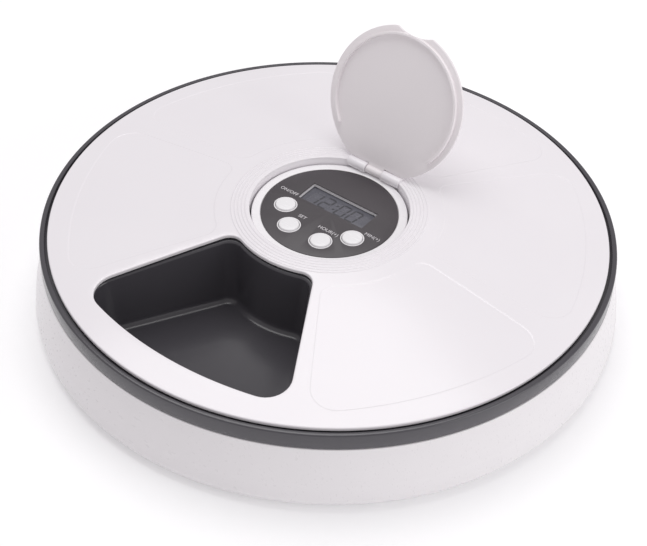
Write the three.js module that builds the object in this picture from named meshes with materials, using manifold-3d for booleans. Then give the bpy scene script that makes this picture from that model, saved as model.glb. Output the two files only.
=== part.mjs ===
// Automatic pet feeder: six food pockets on a turntable, a white cover with one serving window,
// and a control panel under a flip-up lid on the centre column.
// Millimetres, +Z up. The origin is on the floor under the centre and the window faces -Y.
import * as THREE from 'three';
import { mergeVertices } from 'three/addons/utils/BufferGeometryUtils.js';
import Module from 'manifold-3d';

const wasm = await Module();
wasm.setup();

// Facets round a full turn: the wide rings, the centre column, pins and buttons, small bores.
const rimFacets = 60;
const columnFacets = 44;
const buttonFacets = 20;
const pinFacets = 14;
const boreFacets = 10;

// Clearances.
const touchGap = 0.3; // between pieces that rest on or are held by each other
const runningGap = 0.9; // between pieces that turn past each other
const boltGap = 0.4; // round a screw or a pin that passes through
const jointOverlap = 0.5; // how far joined shapes reach into each other
const edgeBevel = 0.5;

// Overall.
const trayRadius = 156; // outside of the tray's rim band
const trayDepth = 34.2; // underside of the tray to the top of its rim band
const baseFlare = 6; // how far the base spreads beyond the band
const housingRadius = 42.3; // control housing, the white ring in the middle
const coverRise = 11.5; // cover's edge up to the rim of its centre hole

// Base.
const footHeight = 2.5;
const footRadius = 8;
const footRecess = 1.1;
const footInset = 16; // foot centre inside the band radius
const baseWall = 2.5;
const floorThickness = 2.5;
const lipHeight = 4.4; // base lip that stands up inside the tray's band
const baseFillet = 5; // round the bottom edge of the base
const creaseHeight = 18; // where the base wall turns from steep to flaring

// Tray.
const bandHeight = 9.5;
const bandWall = 2.7;
const trayWall = 2.2;
const trayFloor = 2.2;
const dividerHalf = 2.6; // half the wall between two pockets
const pocketCount = 6;
const pocketDraft = 0.95; // size of a pocket's floor against its mouth
const hubFlange = 2.5;

// Cover.
const coverThickness = 2.2;
const coverRimGap = 1.6; // round the cover's edge, inside the band
const coverEdgeStep = 0.85; // how far the cover's edge stands above the band
const coverTrayGap = 1.0; // under the cover, above the turning tray
const crownPower = 1.2; // how the dome falls away from its middle
const panelGap = 1.0; // round the control housing
const collarWall = 2.2;
const windowShelf = 17; // cover edge to the window's outer side
const windowInner = 54.4;
const windowBow = 52; // the window's outer side is flatter than the rim by this much
const windowHalfAngle = THREE.MathUtils.degToRad(28.8);
const windowOuterCorner = 13;
const windowInnerCorner = 8;
const keyWidth = 4; // rib that keeps the cover's window over a pocket
const keyRoot = 1; // how far the rib reaches into the housing
const keyBelowPanel = 3;

// Column and turntable.
const columnWall = 2;
const columnGap = 0.7; // between the housing's skirt and the column
const skirtOverlap = 4; // how far the housing's skirt reaches down inside the column
const shoulderWidth = 5.5; // bearing ledge under the turntable
const collarSeat = 9; // top of the column below the panel
const turntableGap = 2.5; // column to the tips of the turntable's teeth
const turntableWall = 2.3;
const lugWidth = 8;
const lugHeight = 2.2;
const lugCount = 3;

// Gears: the motor pinion turns a reduction gear, that turns the drive gear in the column wall.
const driveModule = 1.25;
const driveTeeth = 16;
const reductionPinionTeeth = 10;
const motorModule = 0.8;
const wheelTeeth = 46;
const motorPinionTeeth = 10;
const gearWidth = 6.4;
const wheelWidth = 3;
const gearPinRadius = 1.5;
const motorRadius = 12;
const motorHeight = 12;
const gearPlateThickness = 2;
const gearPlateGap = 0.3; // round the gear plate, inside the housing's skirt
const gearHubRadius = 3;
const wheelGap = 1.5; // above the motor and above the wheel
const cradleWall = 1.6;
const cradleHeight = 4;
const footRingHeight = 1.7; // turntable's foot under its teeth

// Rollers under the tray.
const rollerCount = 3;
const rollerRadius = 4.5;
const rollerWidth = 6;
const rollerPinRadius = 1;
const rollerInset = 26; // roller inside the band radius
const rollerFloorGap = 0.5;
const cheekThickness = 1.8;
const cheekWidth = 8;
const cheekOverPin = 1.6;

// Batteries.
const cellCount = 4;
const cellRadius = 7.25;
const cellLength = 50.5;
const cellPitchGap = 0.5;
const contactThickness = 0.5;
const contactHalfHeight = 5;
const springLength = 1.9;
const springWide = 3.4; // radius on the contact plate
const springNarrow = 2.4; // radius on the cell
const doorThickness = 2;
const doorGap = 0.4;
const doorNotchRadius = 7;
const doorNotchDepth = 4.1;
const bayWall = 1.5;
const deckThickness = 1.8;
const wireSlotSize = [8, 4];
const wireSlotPlace = [14, 34.5];

// Control panel.
const panelDepth = 4.1; // panel below the rim of the cover's centre hole
const bezelWidth = 5; // white ring round the overlay
const overlayThickness = 0.4;
const panelThickness = 2.25;
const displayWidth = 43;
const displayDepth = 15;
const displayCentreY = 7.5;
const displayBelow = 2.55; // glass below the panel's top
const displayMargin = [1.5, 2]; // module beyond the opening, across and along
const buttonRadius = 5.5;
const buttonGap = 0.35;
const buttonProud = 1.0; // cap above the overlay
const buttonFlange = 0.9;
const flangeWidth = 1.1; // flange round the cap, behind the panel
const capBevel = [0.5, 0.4]; // across and down
const buttonTravel = 1.0;
const buttonCircle = 24.5;
const buttonAngles = [-156.5, -115.5, -64.5, -23.5].map(THREE.MathUtils.degToRad);
const overlayHoleRadius = 6.5;
const switchSize = 6;
const switchHeight = 3.5;
const plungerRadius = 1.75;
const plungerHeight = 0.5;
const boardThickness = 1.6;
const boardRadius = 32;

// Lid over the control panel.
const lidThickness = 1.6;
const lidGap = 1.3; // round the closed lid, inside the cover's centre hole
const skirtWall = 1.6;
const skirtStop = 17.5; // lid's skirt ends this far short of the hinge line
const hingeInset = 1.8; // hinge line inside the cover's centre hole
const knuckleRadius = 3;
const knuckleLength = 12;
const tongueWidth = 11; // space between the two knuckles
const hingePinRadius = 1;
const lidOpenAngle = THREE.MathUtils.degToRad(112);
const notchWidth = 28; // finger notch in the lid's free edge
const notchDepth = 4;

// Long screws that hold the control housing to the base.
const screwRadius = 1.5;
const screwHeadRadius = 2.8;
const screwHeadHeight = 2;
const bossRadius = 3.5;
const bossGap = 0.3; // between a boss and the housing's skirt
const bayBossGap = 0.5; // between a boss and the battery bay
const screwSink = 0.6; // screw head below the base's underside
const screwClear = 3; // screw tip below the panel's plate

// Small screws that hold the circuit board to the control housing.
const boardScrewRadius = 0.9;
const boardScrewHeadRadius = 1.9;
const boardScrewHead = 1.4;
const boardScrewGrip = 4; // thread above the board
const standoffRadius = 2.5;
const standoffPlaces = [[28, 8], [-28, 8], [0, -29]];

// Inside half sizes of the battery bay.
const bayHalfX = cellCount * (2 * cellRadius + cellPitchGap) / 2 + touchGap;
const bayHalfY = (cellLength + springLength) / 2 + contactThickness + 3 * touchGap;

// Screw bosses stand past the ends of the battery bay, against the housing's skirt.
const bossCircle = housingRadius - columnWall - bossRadius - bossGap;
const bossSide = Math.asin((bayHalfY + bayWall + bossRadius + bayBossGap) / bossCircle);
const bossAngles = [Math.PI / 2, -bossSide, bossSide - Math.PI];

// Heights that follow from the sizes above.
const floorTop = footHeight + floorThickness;
const rollerHeight = floorTop + rollerFloorGap + rollerRadius;
const trayBottom = rollerHeight + rollerRadius + touchGap;
const bandTop = trayBottom + trayDepth;
const bandBottom = bandTop - bandHeight;
const coverEdgeZ = bandTop + coverEdgeStep;
const crownZ = coverEdgeZ + coverRise;
const panelZ = crownZ - panelDepth;
const columnTop = panelZ - collarSeat;
const cellHeight = footHeight + doorThickness + 2 * touchGap + cellRadius;
const deckBottom = cellHeight + cellRadius + touchGap;
const deckTop = deckBottom + deckThickness;
const turntableBottom = deckTop + touchGap;
const footRingTop = turntableBottom + footRingHeight;
const gearZ = footRingTop + touchGap;
const wheelZ = deckTop + motorHeight + wheelGap;
const gearPlateZ = wheelZ + wheelWidth + wheelGap;
const gearPlateTop = gearPlateZ + gearPlateThickness;
const boardTop = panelZ - panelThickness - buttonFlange - buttonTravel - 2 * touchGap
  - plungerHeight - switchHeight - touchGap;
const boardBottom = boardTop - boardThickness;

// Radii that follow from the sizes above.
const bandInner = trayRadius - bandWall;
const coverRadius = bandInner - coverRimGap;
const lipOuter = bandInner - runningGap;
const coverHole = housingRadius + panelGap;
const columnInner = housingRadius + columnGap;
const columnOuter = columnInner + columnWall;
const shoulderRadius = columnOuter + shoulderWidth;
const overlayRadius = housingRadius - bezelWidth;
const ringTeeth = Math.round(2 * (columnOuter + turntableGap + driveModule) / driveModule);
const ringPitch = ringTeeth * driveModule / 2;
const ringRoot = ringPitch + 1.2 * driveModule;
const sleeveInner = ringRoot + 0.1;
const sleeveOuter = sleeveInner + turntableWall;
const hubBore = columnOuter + 3;
const trayBore = sleeveOuter + 2 * touchGap;
const pocketInner = trayBore + trayWall;
const windowOuter = coverRadius - windowShelf;
const pocketOuter = windowOuter + 1;
const rollerCircle = trayRadius - rollerInset;
const lidRadius = coverHole - lidGap;

// Gear places along -X, from the drive gear in the column wall towards the middle.
const driveX = -(ringPitch - driveTeeth * driveModule / 2);
const reductionX = driveX + (driveTeeth + reductionPinionTeeth) * driveModule / 2;
const motorX = reductionX + (wheelTeeth + motorPinionTeeth) * motorModule / 2;

// Hinge of the lid.
const hingeY = coverHole - hingeInset;
const hingeZ = crownZ - lidThickness;
const tongueRadius = hingeZ - panelZ - touchGap;

// Radii where the dome's sheets take their points, so that the tray follows the cover.
const domeRadii = [0.11, 0.21, 0.385, 0.615, 0.8]
  .map((share) => coverHole + share * (coverRadius - coverHole));

// Top of the cover at a radius from the middle.
function coverTop(radius) {
  const outward = Math.max(0, radius - coverHole) / (coverRadius - coverHole);
  return crownZ - coverRise * Math.pow(outward, crownPower);
}

// Top of the tray at a radius: it follows the cover's underside.
function trayTop(radius) {
  return coverTop(radius) - coverThickness - coverTrayGap;
}

// --- shape helpers ---------------------------------------------------------

// A closed three.js geometry as a solid, with its faces pointing out.
function solidOf(geometry) {
  const bare = geometry.clone();
  bare.deleteAttribute('normal');
  bare.deleteAttribute('uv');
  const merged = mergeVertices(bare, 1e-4);
  const corners = [];
  for (let i = 0; i < merged.index.count; i += 3) {
    const [a, b, c] = [0, 1, 2].map((k) => merged.index.getX(i + k));
    if (a !== b && b !== c && c !== a) corners.push(a, b, c);
  }
  const vertices = Float32Array.from(merged.attributes.position.array);
  const build = (order) => new wasm.Manifold(new wasm.Mesh({
    numProp: 3,
    vertProperties: vertices,
    triVerts: Uint32Array.from(order),
  }));
  const solid = build(corners);
  return solid.volume() > 0 ? solid : build(corners.reverse());
}

// A solid as three.js geometry.
function geometryOf(solid) {
  const { vertProperties, triVerts } = solid.getMesh();
  const geometry = new THREE.BufferGeometry();
  geometry.setAttribute('position', new THREE.BufferAttribute(vertProperties, 3));
  geometry.setIndex(new THREE.BufferAttribute(triVerts, 1));
  const faceted = geometry.toNonIndexed();
  faceted.computeVertexNormals();
  return faceted;
}

// A profile of [radius, height] points turned round the Z axis.
function revolve(profile, segments = rimFacets) {
  const closed = [...profile, profile[0]].map(([r, z]) => new THREE.Vector2(r, z));
  const geometry = new THREE.LatheGeometry(closed, segments);
  geometry.rotateX(Math.PI / 2);
  return solidOf(geometry);
}

function tube(inner, outer, bottom, top, segments = columnFacets) {
  return revolve([[inner, bottom], [outer, bottom], [outer, top], [inner, top]], segments);
}

// An upright cylinder, or a cone when topRadius differs.
function post(radius, bottom, top, x = 0, y = 0, segments = pinFacets, topRadius = radius) {
  const geometry = new THREE.CylinderGeometry(topRadius, radius, top - bottom, segments);
  geometry.rotateX(Math.PI / 2);
  geometry.translate(x, y, (bottom + top) / 2);
  return solidOf(geometry);
}

// A cylinder along X, from x0 to x1.
function rod(radius, x0, x1, y, z, segments = pinFacets) {
  const geometry = new THREE.CylinderGeometry(radius, radius, x1 - x0, segments);
  geometry.rotateZ(Math.PI / 2);
  geometry.translate((x0 + x1) / 2, y, z);
  return solidOf(geometry);
}

function block([x0, x1], [y0, y1], [z0, z1]) {
  const geometry = new THREE.BoxGeometry(x1 - x0, y1 - y0, z1 - z0);
  geometry.translate((x0 + x1) / 2, (y0 + y1) / 2, (z0 + z1) / 2);
  return solidOf(geometry);
}

function prismGeometry(outline, bottom, top) {
  const shape = new THREE.Shape(outline);
  const geometry = new THREE.ExtrudeGeometry(shape, { depth: top - bottom, bevelEnabled: false });
  geometry.translate(0, 0, bottom);
  return geometry;
}

function prism(outline, bottom, top) {
  return solidOf(prismGeometry(outline, bottom, top));
}

function polar(radius, angle) {
  return new THREE.Vector2(radius * Math.cos(angle), radius * Math.sin(angle));
}

// Points on an arc, without its last one.
function arc(centre, radius, from, to, steps) {
  return Array.from({ length: steps }, (_, i) => (
    polar(radius, from + (to - from) * i / steps).add(centre)
  ));
}

// A solid turned by an angle about the Z axis.
function turned(solid, angle) {
  return solid.rotate([0, 0, THREE.MathUtils.radToDeg(angle)]);
}

// Outline of one sixth of the ring, pointing along +X: two straight sides, a flat outer arc,
// an inner arc about the middle, and rounded corners.
function sectorOutline({ inner, outer, bow, halfAngle, sideOffset, outerCorner, innerCorner }) {
  const side = polar(1, halfAngle);
  const inward = new THREE.Vector2(Math.sin(halfAngle), -Math.cos(halfAngle));
  const origin = new THREE.Vector2(0, 0);
  const bowCentre = new THREE.Vector2(-bow, 0);
  const bowRadius = outer + bow;
  const start = inward.clone().multiplyScalar(sideOffset + outerCorner);
  const toStart = start.clone().sub(bowCentre);
  const along = toStart.dot(side);
  const reach = Math.sqrt(along ** 2 - toStart.lengthSq() + (bowRadius - outerCorner) ** 2);
  const outerCentre = start.clone().addScaledVector(side, reach - along);
  const innerLift = sideOffset + innerCorner;
  const innerReach = Math.sqrt((inner + innerCorner) ** 2 - innerLift ** 2);
  const innerCentre = inward.clone().multiplyScalar(innerLift).addScaledVector(side, innerReach);
  const outerAngle = outerCentre.clone().sub(bowCentre).angle();
  const innerAngle = innerCentre.angle();
  const sideNormal = halfAngle + Math.PI / 2;
  const half = [
    ...arc(bowCentre, bowRadius, 0, outerAngle, 5),
    ...arc(outerCentre, outerCorner, outerAngle, sideNormal, 4),
    outerCentre.clone().add(polar(outerCorner, sideNormal)),
    ...arc(innerCentre, innerCorner, sideNormal, innerAngle + Math.PI, 4),
    ...arc(origin, inner, innerAngle, 0, 4),
    new THREE.Vector2(inner, 0),
  ];
  const mirrored = half.slice(1, -1).reverse().map((p) => new THREE.Vector2(p.x, -p.y));
  return [...half, ...mirrored];
}

// Outline of a toothed circle with one tooth centred on the angle `phase`.
function toothedOutline(teeth, rootRadius, tipRadius, phase) {
  const pitchAngle = 2 * Math.PI / teeth;
  return Array.from({ length: teeth }, (_, tooth) => {
    const middle = phase + tooth * pitchAngle;
    return [
      polar(rootRadius, middle - 0.3 * pitchAngle),
      polar(tipRadius, middle - 0.11 * pitchAngle),
      polar(tipRadius, middle + 0.11 * pitchAngle),
      polar(rootRadius, middle + 0.3 * pitchAngle),
    ];
  }).flat();
}

// A spur gear about the Z axis.
function spurGear(teeth, module, bottom, top, phase) {
  const pitch = teeth * module / 2;
  return prism(toothedOutline(teeth, pitch - 1.15 * module, pitch + 0.85 * module, phase), bottom, top);
}

// --- pieces ----------------------------------------------------------------

const rootGroup = new THREE.Group();

function addPiece(name, solid, material, parent = rootGroup) {
  const mesh = new THREE.Mesh(geometryOf(solid), new THREE.MeshStandardMaterial(material));
  mesh.name = name;
  parent.add(mesh);
  return mesh;
}

const whitePlastic = { color: 0xecebec, roughness: 0.42, metalness: 0 };
const darkPlastic = { color: 0x48464a, roughness: 0.38, metalness: 0 };
const steel = { color: 0xb9bcc0, roughness: 0.3, metalness: 1 };
const gearPlastic = { color: 0xe6e0cf, roughness: 0.5, metalness: 0 };

// A pair of upright cheeks that hold one roller's pin, standing on the floor along +X.
function rollerCheeks() {
  const inside = rollerWidth / 2 + touchGap;
  const cheekTop = rollerHeight + rollerPinRadius + cheekOverPin;
  const cheek = (x0) => block(
    [x0, x0 + cheekThickness],
    [-cheekWidth / 2, cheekWidth / 2],
    [floorTop - 1, cheekTop],
  );
  const pair = cheek(rollerCircle + inside).add(cheek(rollerCircle - inside - cheekThickness));
  const reach = inside + cheekThickness + 1;
  const bore = rod(
    rollerPinRadius + touchGap,
    rollerCircle - reach,
    rollerCircle + reach,
    0,
    rollerHeight,
    boreFacets,
  );
  return pair.subtract(bore);
}

function rollerAngle(index) {
  return Math.PI / 2 + index * 2 * Math.PI / rollerCount;
}

function footPlace(index) {
  return polar(trayRadius - footInset, Math.PI / 4 + index * Math.PI / 2);
}

// The white tub: flared wall with a lip inside the tray's band, floor, centre column and bay.
function baseShell() {
  const wallTop = bandBottom - touchGap;
  const baseRadius = trayRadius + baseFlare;
  const widest = footHeight + baseFillet;
  const creaseRadius = trayRadius + 0.68 * baseFlare;
  const lipTop = wallTop + lipHeight;
  const lipInner = lipOuter - baseWall;
  const turn = baseFillet * Math.SQRT1_2;
  let shell = revolve([
    [columnInner, footHeight],
    [baseRadius - baseFillet, footHeight],
    [baseRadius - baseFillet + turn, footHeight + baseFillet - turn],
    [baseRadius, widest],
    [creaseRadius, creaseHeight],
    [trayRadius, wallTop],
    [lipOuter, wallTop],
    [lipOuter, lipTop],
    [lipInner, lipTop],
    [lipInner, wallTop - baseWall],
    [trayRadius - baseWall, wallTop - baseWall],
    [creaseRadius - baseWall, creaseHeight],
    [baseRadius - baseWall, widest + 1],
    [baseRadius - baseFillet - 1, floorTop],
    [columnInner, floorTop],
  ]);
  shell = shell.add(block(
    [-columnInner, columnInner],
    [-columnInner, columnInner],
    [footHeight, floorTop],
  ));
  shell = shell.add(tube(shoulderRadius - columnWall, shoulderRadius, floorTop - 1, deckTop));
  shell = shell.add(post(shoulderRadius - 0.5, deckBottom, deckTop, 0, 0, columnFacets));
  shell = shell.add(tube(columnInner, columnOuter, deckTop - 1, columnTop));
  shell = shell.add(batteryBayWalls());
  shell = shell.add(motorCradle());
  for (const angle of bossAngles) {
    const { x, y } = polar(bossCircle, angle);
    shell = shell.add(post(bossRadius, footHeight, gearPlateZ - touchGap, x, y));
    shell = shell.subtract(post(screwRadius + boltGap, footHeight - 1, gearPlateZ + 1, x, y, boreFacets));
    shell = shell.subtract(post(
      screwHeadRadius + boltGap,
      footHeight - 1,
      footHeight + 1 + screwHeadHeight,
      x,
      y,
      boreFacets,
    ));
  }
  shell = shell.subtract(batteryBayOpening());
  for (let i = 0; i < rollerCount; i += 1) shell = shell.add(turned(rollerCheeks(), rollerAngle(i)));
  for (let i = 0; i < 4; i += 1) {
    const { x, y } = footPlace(i);
    shell = shell.subtract(post(
      footRadius + touchGap,
      footHeight - 1,
      footHeight + footRecess,
      x,
      y,
      buttonFacets,
    ));
  }
  return shell.subtract(driveSlot()).subtract(wireSlot());
}

// Ring on the deck that the motor stands in.
function motorCradle() {
  const inner = motorRadius + boltGap;
  const ring = tube(inner, inner + cradleWall, deckTop - 1, deckTop + cradleHeight, buttonFacets);
  return ring.translate([motorX, 0, 0]);
}

function batteryBayWalls() {
  return block(
    [-bayHalfX - bayWall, bayHalfX + bayWall],
    [-bayHalfY - bayWall, bayHalfY + bayWall],
    [footHeight, deckBottom + 0.5],
  );
}

function batteryBayOpening() {
  return block([-bayHalfX, bayHalfX], [-bayHalfY, bayHalfY], [footHeight - 1, deckBottom]);
}

// Opening in the column wall where the drive gear reaches the turntable.
function driveSlot() {
  const halfWidth = (driveTeeth / 2 + 1) * driveModule + runningGap;
  return block(
    [-shoulderRadius, 2 * columnWall - columnInner],
    [-halfWidth, halfWidth],
    [deckTop + 1, gearZ + gearWidth + 1],
  );
}

// Slot in the deck for the battery leads.
function wireSlot() {
  const [x, y] = wireSlotPlace;
  const [halfX, halfY] = wireSlotSize.map((size) => size / 2);
  return block([x - halfX, x + halfX], [y - halfY, y + halfY], [deckBottom - 1, deckTop + 1]);
}

function batteryDoor() {
  const doorHalf = bayHalfX - doorGap;
  const hingeRadius = doorThickness / 2;
  const hingeLine = doorGap + hingeRadius - bayHalfY;
  const plate = block(
    [-doorHalf, doorHalf],
    [hingeLine, bayHalfY - doorGap],
    [footHeight, footHeight + doorThickness],
  );
  const roundEdge = rod(
    hingeRadius,
    -doorHalf,
    doorHalf,
    hingeLine,
    footHeight + hingeRadius,
    boreFacets + 2,
  );
  const fingerNotch = post(
    doorNotchRadius,
    footHeight - 1,
    footHeight + doorThickness + 1,
    0,
    bayHalfY - doorGap - doorNotchDepth + doorNotchRadius,
  );
  return plate.add(roundEdge).subtract(fingerNotch);
}

// One cell lying along Y: +1 points its raised end to +Y.
function batteryCell(facing) {
  const body = cellLength - 1.3;
  const profile = [
    [0, 0],
    [cellRadius - 0.5, 0],
    [cellRadius, 0.5],
    [cellRadius, body - 0.5],
    [cellRadius - 0.5, body],
    [2.75, body],
    [2.75, cellLength],
    [0, cellLength],
  ];
  const upright = revolve(profile, pinFacets).translate([0, 0, -cellLength / 2]);
  return upright.rotate([facing > 0 ? -90 : 90, 0, 0]);
}

function cellX(index) {
  return (index - (cellCount - 1) / 2) * (2 * cellRadius + cellPitchGap);
}

function cellFacing(index) {
  return index % 2 === 0 ? 1 : -1;
}

// A flat contact standing against the bay's end wall, over the cells from `first` to `last`.
function contactPlate(first, last, end) {
  const wallSide = bayHalfY - touchGap;
  const sides = [end * wallSide, end * (wallSide - contactThickness)].sort((a, b) => a - b);
  return block(
    [cellX(first) - cellRadius + 1, cellX(last) + cellRadius - 1],
    sides,
    [cellHeight - contactHalfHeight, cellHeight + contactHalfHeight],
  );
}

// The spring that presses on a cell's flat end.
function contactSpring(index) {
  const end = -cellFacing(index);
  const plateFace = bayHalfY - 2 * touchGap - contactThickness;
  const half = springLength / 2;
  const cone = post(springWide, -half, half, 0, 0, boreFacets, springNarrow);
  const lying = cone.rotate([end > 0 ? 90 : -90, 0, 0]);
  return lying.translate([cellX(index), end * (plateFace - springLength / 2), cellHeight]);
}

function rubberFoot(index) {
  const { x, y } = footPlace(index);
  return post(footRadius, 0, footHeight + footRecess - touchGap, x, y, buttonFacets);
}

function supportRoller() {
  const wheel = rod(rollerRadius, -rollerWidth / 2, rollerWidth / 2, 0, 0, buttonFacets);
  return wheel.subtract(rod(rollerPinRadius + touchGap, -rollerWidth, rollerWidth, 0, 0, boreFacets));
}

function rollerPin() {
  const half = rollerWidth / 2 + touchGap + cheekThickness;
  return rod(rollerPinRadius, -half, half, 0, 0, boreFacets);
}

// The six-pocket ring: a revolved body with six tapered pockets and slots for the turntable's lugs.
function tray() {
  const shelf = (radius) => trayTop(radius) - trayWall;
  const wallFoot = pocketOuter + trayWall;
  const dome = [hubBore, ...domeRadii, bandInner];
  let body = revolve([
    ...dome.map((radius) => [radius, trayTop(radius)]).reverse(),
    [hubBore, trayTop(hubBore) - hubFlange],
    [trayBore, trayTop(hubBore) - hubFlange],
    [trayBore, trayBottom],
    [wallFoot, trayBottom],
    [wallFoot + 3, shelf(wallFoot + 3)],
    [bandInner, shelf(bandInner)],
    [bandInner, bandBottom],
    [trayRadius, bandBottom],
    [trayRadius, bandTop - 0.6],
    [trayRadius - 0.6, bandTop],
    [bandInner, bandTop],
  ]);
  const outline = sectorOutline({
    inner: pocketInner,
    outer: pocketOuter,
    bow: windowBow,
    halfAngle: Math.PI / pocketCount,
    sideOffset: dividerHalf,
    outerCorner: windowOuterCorner,
    innerCorner: windowInnerCorner,
  });
  const floor = trayBottom + trayFloor;
  const cutter = prismGeometry(outline, floor, crownZ + 1);
  const middle = (pocketInner + pocketOuter) / 2;
  const place = cutter.attributes.position;
  for (let i = 0; i < place.count; i += 1) {
    const height = Math.min(1, (place.getZ(i) - floor) / (trayTop(middle) - floor));
    const scale = pocketDraft + (1 - pocketDraft) * height;
    place.setX(i, middle + (place.getX(i) - middle) * scale);
    place.setY(i, place.getY(i) * scale);
  }
  const pocket = solidOf(cutter);
  for (let i = 0; i < pocketCount; i += 1) {
    body = body.subtract(turned(pocket, -Math.PI / 2 + i * 2 * Math.PI / pocketCount));
  }
  for (let i = 0; i < lugCount; i += 1) {
    const slot = block(
      [sleeveInner - boltGap, sleeveOuter + boltGap],
      [-lugWidth / 2 - boltGap, lugWidth / 2 + boltGap],
      [trayTop(hubBore) - hubFlange - 1, crownZ],
    );
    body = body.subtract(turned(slot, i * 2 * Math.PI / lugCount));
  }
  return body;
}

// Toothed sleeve round the column: foot ring, inward teeth, sleeve and three lugs on top.
function turntable() {
  const sleeveTop = trayTop(hubBore) - hubFlange - touchGap;
  const teethTop = gearZ + gearWidth + touchGap;
  let body = tube(columnOuter + 1, sleeveOuter, turntableBottom, teethTop);
  const toothSpace = toothedOutline(
    ringTeeth,
    ringRoot,
    ringPitch - 0.85 * driveModule,
    Math.PI,
  );
  body = body.subtract(prism(toothSpace, footRingTop, teethTop + 1));
  body = body.add(tube(sleeveInner, sleeveOuter, teethTop - 0.5, sleeveTop));
  for (let i = 0; i < lugCount; i += 1) {
    const lug = block(
      [sleeveInner + 0.2, sleeveOuter - 0.2],
      [-lugWidth / 2, lugWidth / 2],
      [sleeveTop - 1, sleeveTop + lugHeight],
    );
    body = body.add(turned(lug, i * 2 * Math.PI / lugCount));
  }
  return body;
}

function driveGear() {
  const gear = spurGear(driveTeeth, driveModule, gearZ, gearZ + gearWidth, Math.PI + Math.PI / driveTeeth);
  const hub = post(gearHubRadius, deckTop + touchGap, gearZ + gearWidth + 2.5);
  const bore = post(gearPinRadius + touchGap, deckTop - 1, gearPlateZ, 0, 0, boreFacets);
  return gear.add(hub).subtract(bore);
}

function reductionGear() {
  const pinion = spurGear(reductionPinionTeeth, driveModule, gearZ, wheelZ + 0.5, Math.PI);
  const wheel = spurGear(wheelTeeth, motorModule, wheelZ, wheelZ + wheelWidth, 0);
  const hub = post(gearHubRadius, deckTop + touchGap, gearPlateZ - touchGap);
  const bore = post(gearPinRadius + touchGap, deckTop - 1, gearPlateZ + 1, 0, 0, boreFacets);
  return pinion.add(wheel).add(hub).subtract(bore);
}

function motorPinion() {
  const bottom = wheelZ - touchGap;
  const pinion = spurGear(
    motorPinionTeeth,
    motorModule,
    bottom,
    wheelZ + wheelWidth + 0.6,
    Math.PI + Math.PI / motorPinionTeeth,
  );
  return pinion.add(post(1, bottom - 2.5, bottom + 0.5, 0, 0, boreFacets));
}

function motor() {
  const bottom = deckTop + touchGap;
  const top = bottom + motorHeight - 0.6;
  const can = post(motorRadius, bottom, top, 0, 0, columnFacets);
  return can.subtract(post(1 + touchGap, top - 3, top + 1, 0, 0, boreFacets));
}

function gearPin(top) {
  return post(gearPinRadius, deckTop + touchGap, top, 0, 0, boreFacets);
}

function gearPlate() {
  const plateRadius = housingRadius - columnWall - gearPlateGap;
  let plate = post(plateRadius, gearPlateZ, gearPlateTop, 0, 0, columnFacets);
  for (const angle of bossAngles) {
    const { x, y } = polar(bossCircle, angle);
    plate = plate.subtract(post(screwRadius + boltGap, gearPlateZ - 1, gearPlateTop + 1, x, y, boreFacets));
  }
  return plate.subtract(post(
    gearPinRadius + touchGap,
    gearPlateZ - 1,
    gearPlateTop + 1,
    reductionX,
    0,
    boreFacets,
  ));
}

function housingScrew(index) {
  const { x, y } = polar(bossCircle, bossAngles[index]);
  const headBottom = footHeight + screwSink;
  const head = post(screwHeadRadius, headBottom, headBottom + screwHeadHeight, x, y);
  const shankTop = panelZ - panelThickness - screwClear;
  const shank = post(screwRadius, headBottom + jointOverlap, shankTop, x, y, boreFacets);
  return head.add(shank);
}

// Inverted cup that closes the column: panel plate, skirt, key rib, screw posts and standoffs.
function controlHousing() {
  const plateBottom = panelZ - panelThickness;
  const skirtBottom = columnTop - skirtOverlap;
  const recess = overlayThickness + touchGap + 0.05;
  let body = revolve([
    [0, plateBottom],
    [housingRadius - columnWall, plateBottom],
    [housingRadius - columnWall, skirtBottom],
    [housingRadius, skirtBottom],
    [housingRadius, panelZ - edgeBevel],
    [housingRadius - edgeBevel, panelZ],
    [overlayRadius + touchGap, panelZ],
    [overlayRadius + touchGap, panelZ - recess],
    [0, panelZ - recess],
  ], columnFacets);
  body = body.add(block(
    [housingRadius - keyRoot, housingRadius + panelGap - boltGap],
    [-keyWidth / 2, keyWidth / 2],
    [columnTop + runningGap, panelZ - keyBelowPanel],
  ));
  for (const angle of bossAngles) {
    const { x, y } = polar(bossCircle, angle);
    body = body.add(post(bossRadius, gearPlateTop + touchGap, plateBottom + jointOverlap, x, y));
    body = body.subtract(post(screwRadius + touchGap, gearPlateTop - 1, plateBottom - 1, x, y, boreFacets));
  }
  for (const [x, y] of standoffPlaces) {
    body = body.add(post(standoffRadius, boardTop + touchGap, plateBottom + jointOverlap, x, y));
    body = body.subtract(post(boardScrewRadius + touchGap, boardTop - 1, plateBottom - 1, x, y, boreFacets));
  }
  for (const angle of buttonAngles) {
    const { x, y } = polar(buttonCircle, angle);
    body = body.subtract(post(buttonRadius + buttonGap, plateBottom - 1, panelZ + 1, x, y, buttonFacets));
  }
  return body.subtract(displayOpening());
}

function displayOpening() {
  return block(
    [-displayWidth / 2, displayWidth / 2],
    [displayCentreY - displayDepth / 2, displayCentreY + displayDepth / 2],
    [panelZ - panelThickness - 1, panelZ + 1],
  );
}

// Printed dark disc in the housing's recess.
function panelOverlay() {
  let disc = post(overlayRadius, panelZ - overlayThickness, panelZ, 0, 0, columnFacets);
  for (const angle of buttonAngles) {
    const { x, y } = polar(buttonCircle, angle);
    disc = disc.subtract(post(overlayHoleRadius, panelZ - 2, panelZ + 1, x, y, buttonFacets));
  }
  return disc.subtract(displayOpening());
}

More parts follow.
